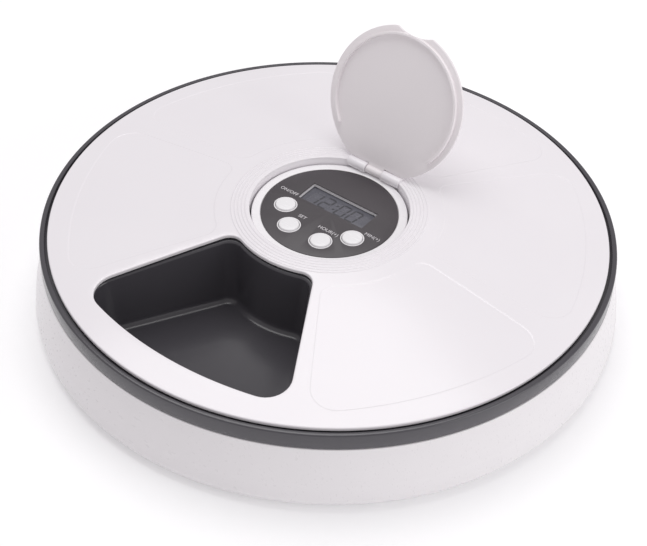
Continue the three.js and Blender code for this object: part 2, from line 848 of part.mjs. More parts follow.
function pushButton(angle) {
  const { x, y } = polar(buttonCircle, angle);
  const flangeTop = panelZ - panelThickness - touchGap;
  const flange = post(buttonRadius + flangeWidth, flangeTop - buttonFlange, flangeTop, x, y, buttonFacets);
  const [across, down] = capBevel;
  const capTop = panelZ + buttonProud;
  const cap = post(buttonRadius, flangeTop - jointOverlap, capTop - down, x, y, buttonFacets);
  const crown = post(buttonRadius, capTop - down, capTop, x, y, buttonFacets, buttonRadius - across);
  return flange.add(cap).add(crown);
}

function tactSwitch(angle) {
  const { x, y } = polar(buttonCircle, angle);
  const bottom = boardTop + touchGap;
  const half = switchSize / 2;
  const body = block([x - half, x + half], [y - half, y + half], [bottom, bottom + switchHeight]);
  const top = bottom + switchHeight;
  return body.add(post(plungerRadius, top - jointOverlap, top + plungerHeight - touchGap, x, y, boreFacets));
}

function circuitBoard() {
  let board = post(boardRadius, boardBottom, boardTop, 0, 0, columnFacets);
  for (const [x, y] of standoffPlaces) {
    board = board.subtract(post(boardScrewRadius + boltGap, boardBottom - 1, boardTop + 1, x, y, boreFacets));
  }
  return board;
}

function boardScrew([x, y]) {
  const headTop = boardBottom - touchGap;
  const head = post(boardScrewHeadRadius, headTop - boardScrewHead, headTop, x, y);
  const tip = boardTop + boardScrewGrip;
  return head.add(post(boardScrewRadius, headTop - jointOverlap, tip, x, y, boreFacets));
}

function displayModule() {
  const halfWidth = displayWidth / 2 + displayMargin[0];
  const halfDepth = displayDepth / 2 + displayMargin[1];
  return block(
    [-halfWidth, halfWidth],
    [displayCentreY - halfDepth, displayCentreY + halfDepth],
    [boardTop + touchGap, panelZ - displayBelow],
  );
}

// White dome with the serving window, centre hole, collar on the column and the hinge knuckles.
function cover() {
  const under = (radius) => coverTop(radius) - coverThickness;
  const collarOuter = coverHole + collarWall;
  const dome = [coverHole + 0.6, ...domeRadii, coverRadius - 0.8];
  const inside = [collarOuter, ...domeRadii, coverRadius].reverse();
  let body = revolve([
    [coverHole, crownZ - edgeBevel],
    ...dome.map((radius) => [radius, coverTop(radius)]),
    [coverRadius, coverEdgeZ - 0.6],
    ...inside.map((radius) => [radius, under(radius)]),
    [collarOuter, columnTop + touchGap],
    [coverHole, columnTop + touchGap],
  ]);
  const outline = sectorOutline({
    inner: windowInner,
    outer: windowOuter,
    bow: windowBow,
    halfAngle: windowHalfAngle,
    sideOffset: 0,
    outerCorner: windowOuterCorner,
    innerCorner: windowInnerCorner,
  });
  body = body.subtract(turned(prism(outline, bandBottom, crownZ + 1), -Math.PI / 2));
  body = body.subtract(block(
    [housingRadius, coverHole + 1],
    [-keyWidth / 2 - boltGap, keyWidth / 2 + boltGap],
    [columnTop, panelZ - 1],
  ));
  const tongueSpace = block(
    [-tongueWidth / 2, tongueWidth / 2],
    [hingeY - knuckleRadius - 1, hingeY + knuckleRadius + 0.7],
    [panelZ + 0.2, crownZ + 5],
  );
  body = body.subtract(tongueSpace);
  const knuckleEnd = tongueWidth / 2 + knuckleLength;
  for (const [x0, x1] of [[-knuckleEnd, -tongueWidth / 2], [tongueWidth / 2, knuckleEnd]]) {
    const barrel = rod(knuckleRadius, x0, x1, hingeY, hingeZ);
    const root = block([x0, x1], [hingeY, collarOuter], [panelZ + touchGap, hingeZ])
      .intersect(post(collarOuter, panelZ, crownZ, 0, 0, columnFacets));
    const knuckle = barrel.add(root).subtract(block(
      [x0 - 1, x1 + 1],
      [hingeY - 10, coverHole - 0.4],
      [panelZ - 5, panelZ + touchGap],
    ));
    body = body.add(knuckle);
  }
  return body.subtract(rod(hingePinRadius + touchGap, -knuckleEnd - 1, knuckleEnd + 1, hingeY, hingeZ));
}

function hingePin() {
  const end = tongueWidth / 2 + knuckleLength - 0.5;
  return rod(hingePinRadius, -end, end, 0, 0);
}

// The lid, drawn closed with the hinge line at the origin: plate, skirt, tongue and finger notch.
function lid() {
  const plateTop = crownZ - hingeZ;
  const skirtBottom = panelZ + touchGap - hingeZ;
  const centre = -hingeY;
  const plate = tube(0, lidRadius, 0, plateTop).translate([0, centre, 0]);
  const skirtInner = overlayRadius - touchGap;
  const skirt = tube(skirtInner, skirtInner + skirtWall, skirtBottom, jointOverlap)
    .translate([0, centre, 0])
    .subtract(block([-lidRadius, lidRadius], [-skirtStop, lidRadius], [skirtBottom - 1, plateTop]));
  const knuckleSpace = tongueWidth / 2 + knuckleLength + 0.6;
  let body = plate.add(skirt);
  const freeY = centre - lidRadius;
  const notchRadius = ((notchWidth / 2) ** 2 + notchDepth ** 2) / (2 * notchDepth);
  body = body.subtract(post(
    notchRadius,
    skirtBottom - 1,
    plateTop + 1,
    0,
    freeY + notchDepth - notchRadius,
    rimFacets,
  ));
  body = body.subtract(block(
    [-knuckleSpace, knuckleSpace],
    [-knuckleRadius - 0.5, lidRadius],
    [skirtBottom - 1, plateTop + 1],
  ));
  const tongueHalf = tongueWidth / 2 - touchGap;
  const barrel = rod(tongueRadius, -tongueHalf, tongueHalf, 0, 0);
  const web = block([-tongueHalf, tongueHalf], [-knuckleRadius - 1, 0], [0, plateTop]);
  body = body.add(barrel).add(web);
  return body.subtract(rod(hingePinRadius + touchGap, -10, 10, 0, 0));
}

// --- assembly --------------------------------------------------------------

addPiece('base_shell', baseShell(), whitePlastic);
addPiece('battery_door', batteryDoor(), whitePlastic);

for (let i = 0; i < cellCount; i += 1) {
  const shift = cellFacing(i) * (springLength + touchGap) / 2;
  const cell = addPiece(
    `battery_cell_${i + 1}`,
    batteryCell(cellFacing(i)),
    { color: 0x2f5d50, roughness: 0.35, metalness: 0.3 },
  );
  cell.position.set(cellX(i), shift, cellHeight);
  addPiece(`contact_spring_${i + 1}`, contactSpring(i), steel);
}
addPiece('contact_plate_1', contactPlate(0, 1, -1), steel);
addPiece('contact_plate_2', contactPlate(2, 3, -1), steel);
addPiece('contact_plate_3', contactPlate(1, 2, 1), steel);
addPiece('contact_plate_4', contactPlate(0, 0, 1), steel);
addPiece('contact_plate_5', contactPlate(3, 3, 1), steel);

for (let i = 0; i < 4; i += 1) {
  addPiece(`rubber_foot_${i + 1}`, rubberFoot(i), { color: 0x3a3a3c, roughness: 0.85, metalness: 0 });
}

for (let i = 0; i < rollerCount; i += 1) {
  const { x, y } = polar(rollerCircle, rollerAngle(i));
  const roller = addPiece(`tray_roller_${i + 1}`, supportRoller(), gearPlastic);
  const pin = addPiece(`roller_pin_${i + 1}`, rollerPin(), steel);
  for (const piece of [roller, pin]) {
    piece.position.set(x, y, rollerHeight);
    piece.rotation.z = rollerAngle(i);
  }
}

addPiece('turntable', turntable(), gearPlastic);
addPiece('tray', tray(), darkPlastic);

addPiece('drive_gear', driveGear(), gearPlastic).position.x = driveX;
addPiece('drive_gear_pin', gearPin(gearZ + gearWidth + 3.5), steel).position.x = driveX;
addPiece('reduction_gear', reductionGear(), gearPlastic).position.x = reductionX;
addPiece('reduction_gear_pin', gearPin(gearPlateTop - 0.5), steel).position.x = reductionX;
addPiece('motor', motor(), steel).position.x = motorX;
addPiece('motor_pinion', motorPinion(), { color: 0xc9a55a, roughness: 0.35, metalness: 1 })
  .position.x = motorX;
addPiece('gear_plate', gearPlate(), gearPlastic);

addPiece('control_housing', controlHousing(), whitePlastic);
addPiece('panel_overlay', panelOverlay(), { color: 0x534f53, roughness: 0.5, metalness: 0 });
addPiece('circuit_board', circuitBoard(), { color: 0x2f6b3c, roughness: 0.5, metalness: 0 });
addPiece('display', displayModule(), { color: 0x5a6068, roughness: 0.15, metalness: 0 });
const buttonNames = ['power', 'set', 'hour', 'minute'];
buttonNames.forEach((name, i) => {
  addPiece(`button_${name}`, pushButton(buttonAngles[i]), whitePlastic);
  addPiece(`switch_${name}`, tactSwitch(buttonAngles[i]), { color: 0x1d1d1f, roughness: 0.5, metalness: 0 });
});
standoffPlaces.forEach((place, i) => addPiece(`board_screw_${i + 1}`, boardScrew(place), steel));
bossAngles.forEach((_, i) => addPiece(`housing_screw_${i + 1}`, housingScrew(i), steel));

addPiece('cover', cover(), whitePlastic);
const hinge = new THREE.Group();
hinge.position.set(0, hingeY, hingeZ);
rootGroup.add(hinge);
addPiece('hinge_pin', hingePin(), steel, hinge);
const flap = new THREE.Group();
flap.rotation.x = -lidOpenAngle;
hinge.add(flap);
addPiece('lid', lid(), whitePlastic, flap);

export default rootGroup;
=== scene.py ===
# Automatic pet feeder, built up in the order in which it is put together: white tub, batteries,
# drive, dark tray, control unit, cover and lid. Lengths are millimetres until a piece is placed.
import math

import bmesh
import bpy
from mathutils import Matrix, Vector
from mathutils.geometry import delaunay_2d_cdt
from mathutils.kdtree import KDTree


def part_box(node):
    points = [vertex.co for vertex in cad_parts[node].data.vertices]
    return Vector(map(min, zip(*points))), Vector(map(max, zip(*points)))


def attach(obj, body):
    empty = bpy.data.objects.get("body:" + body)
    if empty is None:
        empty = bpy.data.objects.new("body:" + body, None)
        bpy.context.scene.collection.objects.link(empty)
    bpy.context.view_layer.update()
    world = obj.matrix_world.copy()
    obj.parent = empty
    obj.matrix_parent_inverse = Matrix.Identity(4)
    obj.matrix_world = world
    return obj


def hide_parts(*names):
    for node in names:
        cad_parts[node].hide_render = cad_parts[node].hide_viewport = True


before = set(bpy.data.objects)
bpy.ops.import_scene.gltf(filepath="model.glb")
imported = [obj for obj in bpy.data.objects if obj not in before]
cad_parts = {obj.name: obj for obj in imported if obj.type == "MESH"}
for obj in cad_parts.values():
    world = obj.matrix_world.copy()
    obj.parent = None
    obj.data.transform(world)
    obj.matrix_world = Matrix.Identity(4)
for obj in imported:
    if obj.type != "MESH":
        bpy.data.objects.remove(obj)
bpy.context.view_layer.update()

# ---------------------------------------------------------------- tub
# The white base is one injection moulding in semi-gloss ABS: a flared wall with a soft fold line,
# a lip that stands up inside the tray's band, a deck, a hollow centre column and a battery bay.


def box_mm(node):
    """Lowest and highest corner of a CAD node in millimetres."""
    low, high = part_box(node)
    return low * 1000, high * 1000


def middle_of(node):
    """Middle of a CAD node's box in millimetres."""
    low, high = box_mm(node)
    return (low + high) / 2


def rounded(corners, steps=4):
    """An outline with rounded corners, each given as (x, y, fillet radius)."""
    outline = []
    for i, (x, y, fillet) in enumerate(corners):
        corner = Vector((x, y))
        if fillet <= 0:
            outline.append(corner)
            continue
        back = (Vector(corners[i - 1][:2]) - corner).normalized()
        ahead = (Vector(corners[(i + 1) % len(corners)][:2]) - corner).normalized()
        half = back.angle(ahead) / 2
        centre = corner + (back + ahead).normalized() * fillet / math.sin(half)
        start = corner + back * fillet / math.tan(half) - centre
        end = corner + ahead * fillet / math.tan(half) - centre
        sweep = math.pi - 2 * half
        for k in range(steps + 1):
            share = k / steps
            turn = start * math.sin((1 - share) * sweep) + end * math.sin(share * sweep)
            outline.append(centre + turn / math.sin(sweep))
    return outline


def turned(outline, steps=192, skin=False):
    """A (radius, height) outline turned round the centre line; a skin is left open at its ends."""
    bm = bmesh.new()
    points = [bm.verts.new((radius, 0, height)) for radius, height in outline]
    edges = [bm.edges.new(pair) for pair in zip(points, points[1:])]
    if not skin and (outline[0][0] > 1e-6 or outline[-1][0] > 1e-6):
        edges.append(bm.edges.new((points[-1], points[0])))
    bmesh.ops.spin(bm, geom=points + edges, cent=(0, 0, 0), axis=(0, 0, 1),
                   angle=2 * math.pi, steps=steps, use_merge=True)
    return bm if skin else tidied(bm)


def tidied(bm):
    """Welds a closed mesh and turns its faces outwards."""
    bmesh.ops.remove_doubles(bm, verts=bm.verts, dist=0.003)
    bmesh.ops.dissolve_degenerate(bm, edges=bm.edges, dist=0.0002)
    bmesh.ops.recalc_face_normals(bm, faces=bm.faces)
    return bm


def cylinder(radius, bottom, top, centre=(0, 0), sides=32):
    """An upright cylinder between two heights."""
    bm = bmesh.new()
    bmesh.ops.create_cone(bm, cap_ends=True, segments=sides, radius1=radius, radius2=radius,
                          depth=top - bottom)
    bmesh.ops.translate(bm, verts=bm.verts, vec=(*centre, (bottom + top) / 2))
    return bm


def columns(places, radius, bottom, top, sides=32):
    """The same upright cylinder at each of several places."""
    return [cylinder(radius, bottom, top, place, sides) for place in places]


def block(x, y, z):
    """A box between the two places given along each axis."""
    bm = bmesh.new()
    bmesh.ops.create_cube(bm, size=1)
    bmesh.ops.scale(bm, verts=bm.verts, vec=(x[1] - x[0], y[1] - y[0], z[1] - z[0]))
    bmesh.ops.translate(bm, verts=bm.verts, vec=(sum(x) / 2, sum(y) / 2, sum(z) / 2))
    return bm


def plate(outline, bottom, top):
    """A flat outline raised into a plate."""
    bm = bmesh.new()
    face = bm.faces.new([bm.verts.new((x, y, bottom)) for x, y in outline])
    raised = bmesh.ops.extrude_face_region(bm, geom=[face])["geom"]
    bmesh.ops.translate(bm, vec=(0, 0, top - bottom),
                        verts=[part for part in raised if isinstance(part, bmesh.types.BMVert)])
    return tidied(bm)


def soften(bm, width, angle=50, segments=3):
    """Rounds the edges that are sharper than an angle, as a mould's own small radii do."""
    sharp = [edge for edge in bm.edges
             if len(edge.link_faces) == 2 and edge.calc_face_angle() > math.radians(angle)]
    bmesh.ops.bevel(bm, geom=sharp, offset=width, offset_type="OFFSET", affect="EDGES",
                    segments=segments, profile=0.5, material=-1, clamp_overlap=True)
    return bm


def moved(bm, by=(0, 0, 0), turn=0.0, axis="Z", about=(0, 0, 0)):
    """Turns a mesh about an axis through a point, then shifts it."""
    bmesh.ops.rotate(bm, verts=bm.verts, cent=about, matrix=Matrix.Rotation(turn, 3, axis))
    bmesh.ops.translate(bm, verts=bm.verts, vec=by)
    return bm


def rod(radius, start, end, sides=32):
    """A cylinder lying along X between two places."""
    return moved(cylinder(radius, start, end, sides=sides), turn=math.pi / 2, axis="Y")


def together(*parts):
    """Several closed meshes as one."""
    whole = parts[0]
    for part in parts[1:]:
        loose = bpy.data.meshes.new("loose")
        part.to_mesh(loose)
        part.free()
        whole.from_mesh(loose)
        bpy.data.meshes.remove(loose)
    return whole


def as_object(bm, name, *materials):
    """A finished mesh as an object in the scene."""
    mesh = bpy.data.meshes.new(name)
    bm.to_mesh(mesh)
    bm.free()
    for material in materials:
        mesh.materials.append(material)
    holder = bpy.data.objects.new(name, mesh)
    bpy.context.scene.collection.objects.link(holder)
    return holder


def merged(body, tools, operation):
    """The body with each tool cut out of it (DIFFERENCE) or joined to it (UNION)."""
    holders = [as_object(bm, "holder") for bm in (body, *tools)]
    for tool in holders[1:]:
        step = holders[0].modifiers.new("step", "BOOLEAN")
        step.operation = operation
        step.solver = "MANIFOLD"
        step.object = tool
    shaped = holders[0].evaluated_get(bpy.context.evaluated_depsgraph_get())
    result = bmesh.new()
    result.from_mesh(shaped.to_mesh())
    shaped.to_mesh_clear()
    for holder in holders:
        mesh = holder.data
        bpy.data.objects.remove(holder)
        bpy.data.meshes.remove(mesh)
    return result


def placed(bm, name, materials, body, slot, *nodes, crease=35):
    """Makes the finished mesh a piece that rides on a body and stands for its CAD nodes."""
    bmesh.ops.scale(bm, verts=bm.verts, vec=(0.001, 0.001, 0.001))
    for face in bm.faces:
        face.smooth = True
    for edge in bm.edges:
        edge.smooth = len(edge.link_faces) == 2 and edge.calc_face_angle() < math.radians(crease)
    piece = as_object(bm, name, *(materials if isinstance(materials, list) else [materials]))
    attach(piece, body)
    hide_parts(*nodes)
    return piece


def coated(finish, *nodes):
    """Gives a material to CAD nodes that keep their own mesh."""
    for node in nodes:
        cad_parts[node].data.materials.clear()
        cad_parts[node].data.materials.append(finish)


def linear(code):
    """An sRGB hex colour as linear red, green, blue, alpha."""
    shares = [int(code[i:i + 2], 16) / 255 for i in (0, 2, 4)]
    return (*[s / 12.92 if s <= 0.04045 else ((s + 0.055) / 1.055) ** 2.4 for s in shares], 1.0)


def add_node(material, kind, inputs=None, **settings):
    """Adds a shader node with its settings, and its inputs as values or as links."""
    node = material.node_tree.nodes.new(kind)
    for name, value in settings.items():
        setattr(node, name, value)
    for socket, value in (inputs or {}).items():
        if isinstance(value, bpy.types.NodeSocket):
            material.node_tree.links.new(value, node.inputs[socket])
        else:
            node.inputs[socket].default_value = value
    return node


def new_material(name):
    """An empty material with its output node and the place on the piece that patterns read."""
    material = bpy.data.materials.new(name)
    material.use_nodes = True
    material.node_tree.nodes.clear()
    output = add_node(material, "ShaderNodeOutputMaterial")
    where = add_node(material, "ShaderNodeTexCoord").outputs["Object"]
    return material, output, where


def noise(material, where, scale, detail):
    """A noise from 0 to 1, its scale in waves to the metre."""
    return add_node(material, "ShaderNodeTexNoise",
                    {"Vector": where, "Scale": scale, "Detail": detail}).outputs["Fac"]


def mixed(material, share, first, second):
    """A colour between two, by a share."""
    return add_node(material, "ShaderNodeMix", {0: share, 6: first, 7: second},
                    data_type="RGBA").outputs[2]


def ranged(material, value, low, high):
    """The middle range of a noise, spread between two values."""
    return add_node(material, "ShaderNodeMapRange",
                    {"Value": value, 1: 0.3, 2: 0.7, 3: low, 4: high}).outputs["Result"]


def clouded(material, where, scale, detail, first, second):
    """A colour that drifts between two, by a noise."""
    return mixed(material, noise(material, where, scale, detail), first, second)


def pressed(material, height, strength, depth):
    """The normals of a skin with a pattern pressed into it, a depth in metres."""
    return add_node(material, "ShaderNodeBump",
                    {"Height": height, "Strength": strength, "Distance": depth}).outputs["Normal"]


def grained(material, where, scale, detail, strength, depth):
    """The normals of a skin with a noise pressed into it."""
    return pressed(material, noise(material, where, scale, detail), strength, depth)


def surfaced(material, output, inputs):
    """Closes a material with its shader, and returns it."""
    shader = add_node(material, "ShaderNodeBsdfPrincipled", inputs)
    material.node_tree.links.new(shader.outputs["BSDF"], output.inputs["Surface"])
    return material


def moulded_abs(name, light, shade, gloss, flow_mm=70, ripple=0.25):
    """Injection-moulded ABS: cloudy tone from the melt's flow, an orange-peel ripple of about
    5 mm in the polish, and hair-fine wiping marks that only the gloss shows."""
    material, output, where = new_material(name)
    tone = clouded(material, where, 1000 / flow_mm, 3.0, linear(shade), linear(light))
    stretched = add_node(material, "ShaderNodeMapping",
                         {"Vector": where, "Rotation": (0.3, 0.2, 0.6), "Scale": (1.0, 9.0, 3.0)})
    wiping = noise(material, stretched.outputs["Vector"], 160.0, 4.0)
    grain = noise(material, where, 1600.0, 1.0)
    skin = add_node(material, "ShaderNodeBump",
                    {"Height": grain, "Strength": ripple, "Distance": 0.00001,
                     "Normal": grained(material, where, 200.0, 1.5, ripple, 0.00006)})
    return surfaced(material, output, {
        "Base Color": tone, "Roughness": ranged(material, wiping, gloss - 0.01, gloss + 0.02),
        "Normal": skin.outputs["Normal"], "IOR": 1.53})


tub_white = moulded_abs("white_abs_tub", "EDEAEC", "E6E3E5", gloss=0.28, ripple=0.06)

tub_low, tub_high = box_mm("base_shell")
tray_low, tray_high = box_mm("tray")
bay_low, bay_high = box_mm("battery_door")
band_radius = tray_high.x
tray_depth, band_height, band_wall, tray_sheet = 34.2, 9.5, 2.7, 2.2
touch_gap, running_gap, shell_wall, pin_bore = 0.3, 0.9, 2.5, 1.3
fold_height, lip_rise = 18.0, 4.4
band_top = tray_low.z + tray_depth
wall_top = band_top - band_height - touch_gap
lip_outer = band_radius - band_wall - running_gap
floor_top = tub_low.z + shell_wall
deck_top = box_mm("motor")[0].z - touch_gap
fold_radius = band_radius + 4.08
column_inner, column_outer, shoulder = 43.0, 45.0, 50.5

wall = turned(rounded([
    (0, tub_low.z, 0),
    (tub_high.x - 0.05, tub_low.z, 5.2),
    (fold_radius, fold_height, 2.0),
    (band_radius, wall_top, 0.5),
    (lip_outer, wall_top, 0.2),
    (lip_outer, wall_top + lip_rise, 0.5),
    (lip_outer - shell_wall, wall_top + lip_rise, 0.5),
    (lip_outer - shell_wall, wall_top - shell_wall, 0.5),
    (band_radius - shell_wall, wall_top - shell_wall, 0.5),
    (fold_radius - shell_wall, fold_height, 2.0),
    (tub_high.x - 2.7, floor_top + 3.5, 1.5),
    (tub_high.x - 6, floor_top, 2.0),
    (0, floor_top, 0),
]), steps=240)
deck = turned([
    (0, deck_top - 1.8), (shoulder - 2, deck_top - 1.8), (shoulder - 2, floor_top - 1),
    (shoulder, floor_top - 1), (shoulder, deck_top - 0.5), (shoulder - 0.5, deck_top), (0, deck_top),
], steps=128)
column = turned(rounded([
    (column_inner, deck_top - 1, 0), (column_outer, deck_top - 1, 0),
    (column_outer, tub_high.z, 0.6), (column_inner, tub_high.z, 0.6),
]), steps=128)
cradle = moved(turned(rounded([
    (12.4, deck_top - 1, 0), (14.0, deck_top - 1, 0), (14.0, deck_top + 4, 0.4),
    (12.4, deck_top + 4, 0.4),
]), steps=64), by=(*middle_of("motor").xy, 0))
bay_x, bay_y = bay_high.x + 0.4, bay_high.y + 0.4
bay_walls = block((-bay_x - 1.5, bay_x + 1.5), (-bay_y - 1.5, bay_y + 1.5),
                  (tub_low.z, deck_top - 1.3))
screw_places = [middle_of(f"housing_screw_{number}").xy for number in (1, 2, 3)]
bosses = columns(screw_places, 3.5, tub_low.z, box_mm("gear_plate")[0].z - touch_gap)
roller_boxes = [box_mm(f"tray_roller_{number}") for number in (1, 2, 3)]
cheeks = []
for low, high in roller_boxes:
    middle = (low + high) / 2
    turn = math.atan2(middle.y, middle.x)
    for inside in (3.3, -3.3 - 1.8):
        start = middle.xy.length + inside
        cheek = plate(rounded([(-4, floor_top - 1, 0), (4, floor_top - 1, 0),
                               (4, middle.z + 2.6, 2.2), (-4, middle.z + 2.6, 2.2)]), 0, 1.8)
        moved(cheek, turn=math.pi / 2, axis="X")
        moved(cheek, turn=math.pi / 2, axis="Z")
        moved(cheek, by=(start, 0, 0))
        cheeks.append(moved(cheek, turn=turn))
tub = merged(wall, [deck, column, cradle, bay_walls, *bosses, *cheeks], "UNION")

openings = [block((-bay_x, bay_x), (-bay_y, bay_y), (tub_low.z - 1, deck_top - 1.8))]
for place in screw_places:
    openings.append(cylinder(1.9, tub_low.z - 1, tub_high.z, place, 24))
    openings.append(cylinder(3.2, tub_low.z - 1, tub_low.z + 3, place, 32))
for number in range(1, 5):
    low, high = box_mm(f"rubber_foot_{number}")
    openings.append(cylinder(8.3, tub_low.z - 1, high.z + 0.3, ((low + high) / 2).xy, 48))
for low, high in roller_boxes:
    middle = (low + high) / 2
    bore = moved(rod(pin_bore, -7, 7), turn=math.atan2(middle.y, middle.x))
    openings.append(moved(bore, by=middle))
openings.append(block((-shoulder, -39), (-12.15, 12.15),
                      (deck_top + 1, box_mm("drive_gear")[1].z - 1.5)))
openings.append(block((10, 18), (32.5, 36.5), (deck_top - 3, deck_top + 1)))
tub = merged(tub, openings, "DIFFERENCE")
placed(tub, "base_tub", tub_white, "base", "white_abs", "base_shell", crease=32)


# ---------------------------------------------------------------- feet
# Four soft rubber discs pressed into round recesses, with a turned-in rim and two grip rings.


def rubber(name, colour):
    """Moulded rubber: dull, slightly dusty, with a fine mould-spray grain of about 0.4 mm."""
    material, output, where = new_material(name)
    return surfaced(material, output, {
        "Base Color": clouded(material, where, 120.0, 4.0, linear(colour), linear("4B4B4D")),
        "Normal": grained(material, where, 2500.0, 2.0, 0.4, 0.00004),
        "Roughness": 0.82, "IOR": 1.52})


foot_rubber = rubber("foot_rubber_moulded", "343436")
for number in range(1, 5):
    low, high = box_mm(f"rubber_foot_{number}")
    foot = turned(rounded([
        (0, low.z + 0.5, 0), (3.6, low.z + 0.5, 0.2), (4.0, low.z, 0.2), (5.2, low.z, 0.2),
        (5.5, low.z + 0.4, 0.2), (5.9, low.z + 0.4, 0.2), (6.2, low.z, 0.2), (7.99, low.z, 0.7),
        (7.99, high.z, 0.3), (0, high.z, 0),
    ], steps=3), steps=48)
    moved(foot, by=(*((low + high) / 2).xy, 0))
    placed(foot, f"foot_{number}", foot_rubber, "base", "foot_rubber", f"rubber_foot_{number}")

# ---------------------------------------------------------------- batteries
# Four AA cells lie side by side under the door, each in a shrunk printed sleeve over a steel can,
# between flat plated contacts and coiled springs of 0.7 mm wire.


def darker(colour, share):
    """A hex colour in linear light, darkened to a share of its brightness."""
    return (*[part * share for part in linear(colour)[:3]], 1.0)


def bare_metal(name, colour, roughness, grain_mm, direction=(1.0, 1.0, 1.0)):
    """Plated or drawn metal: fine drawing lines of about a grain's width, and faint tarnish."""
    material, output, where = new_material(name)
    along = add_node(material, "ShaderNodeMapping", {"Vector": where, "Scale": direction})
    lines = noise(material, along.outputs["Vector"], 1000 / grain_mm, 3.0)
    return surfaced(material, output, {
        "Base Color": clouded(material, where, 150.0, 3.0, linear(colour), darker(colour, 0.82)),
        "Normal": pressed(material, lines, 0.15, 0.00002),
        "Metallic": 1.0, "Roughness": ranged(material, lines, roughness - 0.06, roughness + 0.08)})


def printed_sleeve(name, colour, band):
    """Printed shrink film: glossy, one colour with a metallic-toned band at each end."""
    material, output, where = new_material(name)
    ends = add_node(material, "ShaderNodeSeparateXYZ", {"Vector": where})
    reach = add_node(material, "ShaderNodeMath", {0: ends.outputs["Y"]}, operation="ABSOLUTE")
    border = add_node(material, "ShaderNodeMapRange",
                      {"Value": reach.outputs["Value"], 1: 0.0165, 2: 0.0167})
    tone = mixed(material, border.outputs["Result"], linear(colour), linear(band))
    return surfaced(material, output, {
        "Base Color": tone, "Normal": grained(material, where, 300.0, 2.0, 0.2, 0.00003),
        "Roughness": 0.3, "IOR": 1.5, "Coat Weight": 0.4})


plated_steel = bare_metal("plated_steel", "C6C8CC", 0.3, 0.5, (1.0, 1.0, 8.0))
cell_sleeve = printed_sleeve("cell_sleeve_film", "2E5A4C", "A98A4E")
for number in range(1, 5):
    low, high = box_mm(f"battery_cell_{number}")
    middle, radius, half = (low + high) / 2, (high.x - low.x) / 2, (high.y - low.y) / 2
    facing = 1 if number % 2 else -1
    cell = turned(rounded([
        (0, -half, 0), (radius - 0.6, -half, 0.3), (radius, -half + 0.5, 0.3),
        (radius, half - 1.6, 0.5), (radius - 0.9, half - 1.3, 0.2), (3.6, half - 1.3, 0.3),
        (2.75, half - 1.1, 0.2), (2.75, half, 0.4), (0, half, 0),
    ], steps=3), steps=48)
    for face in cell.faces:
        spread = face.calc_center_median().xy.length
        face.material_index = 1 if spread < radius - 0.9 else 0
    moved(cell, turn=-facing * math.pi / 2, axis="X")
    moved(cell, by=middle)
    placed(cell, f"cell_{number}", [cell_sleeve, plated_steel], "base", "cell_sleeve",
           f"battery_cell_{number}")

    low, high = box_mm(f"contact_spring_{number}")
    middle, wire, coils = (low + high) / 2, 0.3, 3
    height = high.y - low.y
    spring = bmesh.new()
    ring = bmesh.ops.create_circle(spring, cap_ends=False, segments=8, radius=wire)["verts"]
    bmesh.ops.rotate(spring, verts=ring, cent=(0, 0, 0), matrix=Matrix.Rotation(math.pi / 2, 3, "X"))
    bmesh.ops.translate(spring, verts=ring, vec=(2.9, 0, wire - height / 2))
    bmesh.ops.spin(spring, geom=ring + spring.edges[:], cent=(0, 0, 0), axis=(0, 0, 1),
                   angle=coils * 2 * math.pi, steps=coils * 28,
                   dvec=(0, 0, (height - 2 * wire) / (coils * 28)))
    bmesh.ops.holes_fill(spring, edges=[edge for edge in spring.edges if edge.is_boundary], sides=8)
    for point in spring.verts:
        share = (point.co.z + height / 2) / height
        spread = point.co.xy.length
        point.co.xy *= (spread - 0.75 * share) / spread
    moved(tidied(spring), turn=facing * math.pi / 2, axis="X")
    moved(spring, by=middle)
    placed(spring, f"spring_{number}", plated_steel, "base", "steel", f"contact_spring_{number}")
coated(plated_steel, *[f"contact_plate_{number}" for number in range(1, 6)])

# ---------------------------------------------------------------- battery door
# A flat white hatch that swings on its rounded edge, with a thumb scoop and moulded grip ribs.

door_white = moulded_abs("white_abs_door", "EAE9EA", "E2E1E2", gloss=0.4)
door_hinge_y = bay_low.y + 1
door = plate(rounded([
    (bay_low.x, door_hinge_y, 0), (bay_high.x, door_hinge_y, 0),
    (bay_high.x, bay_high.y, 1.5), (bay_low.x, bay_high.y, 1.5),
]), bay_low.z, bay_high.z)
scoop_radius, scoop_reach = 7, 4.1
scoop = cylinder(scoop_radius, bay_low.z - 1, bay_high.z + 1,
                 (0, bay_high.y - scoop_reach + scoop_radius), 64)
door = soften(merged(door, [scoop], "DIFFERENCE"), 0.3, segments=2)
barrel = moved(rod(1, bay_low.x, bay_high.x), by=(0, door_hinge_y, bay_low.z + 1))
door = merged(door, [barrel], "UNION")
grooves = [block((-9, 9), (y, y + 0.8), (bay_low.z - 1, bay_low.z + 0.4))
           for y in (13.0, 15.0, 17.0, 19.0)]
placed(merged(door, grooves, "DIFFERENCE"), "battery_hatch", door_white, "battery_door",
       "white_abs", "battery_door", crease=40)

# ---------------------------------------------------------------- rollers
# Three natural acetal rollers carry the tray near its rim, each on a steel pin between two cheeks.


def acetal(name, colour):
    """Natural acetal: waxy, faintly cloudy off-white with a satin skin from the mould."""
    material, output, where = new_material(name)
    return surfaced(material, output, {
        "Base Color": clouded(material, where, 90.0, 2.0, linear(colour), darker(colour, 0.9)),
        "Normal": grained(material, where, 1500.0, 2.0, 0.25, 0.00003),
        "Roughness": 0.48, "IOR": 1.48})


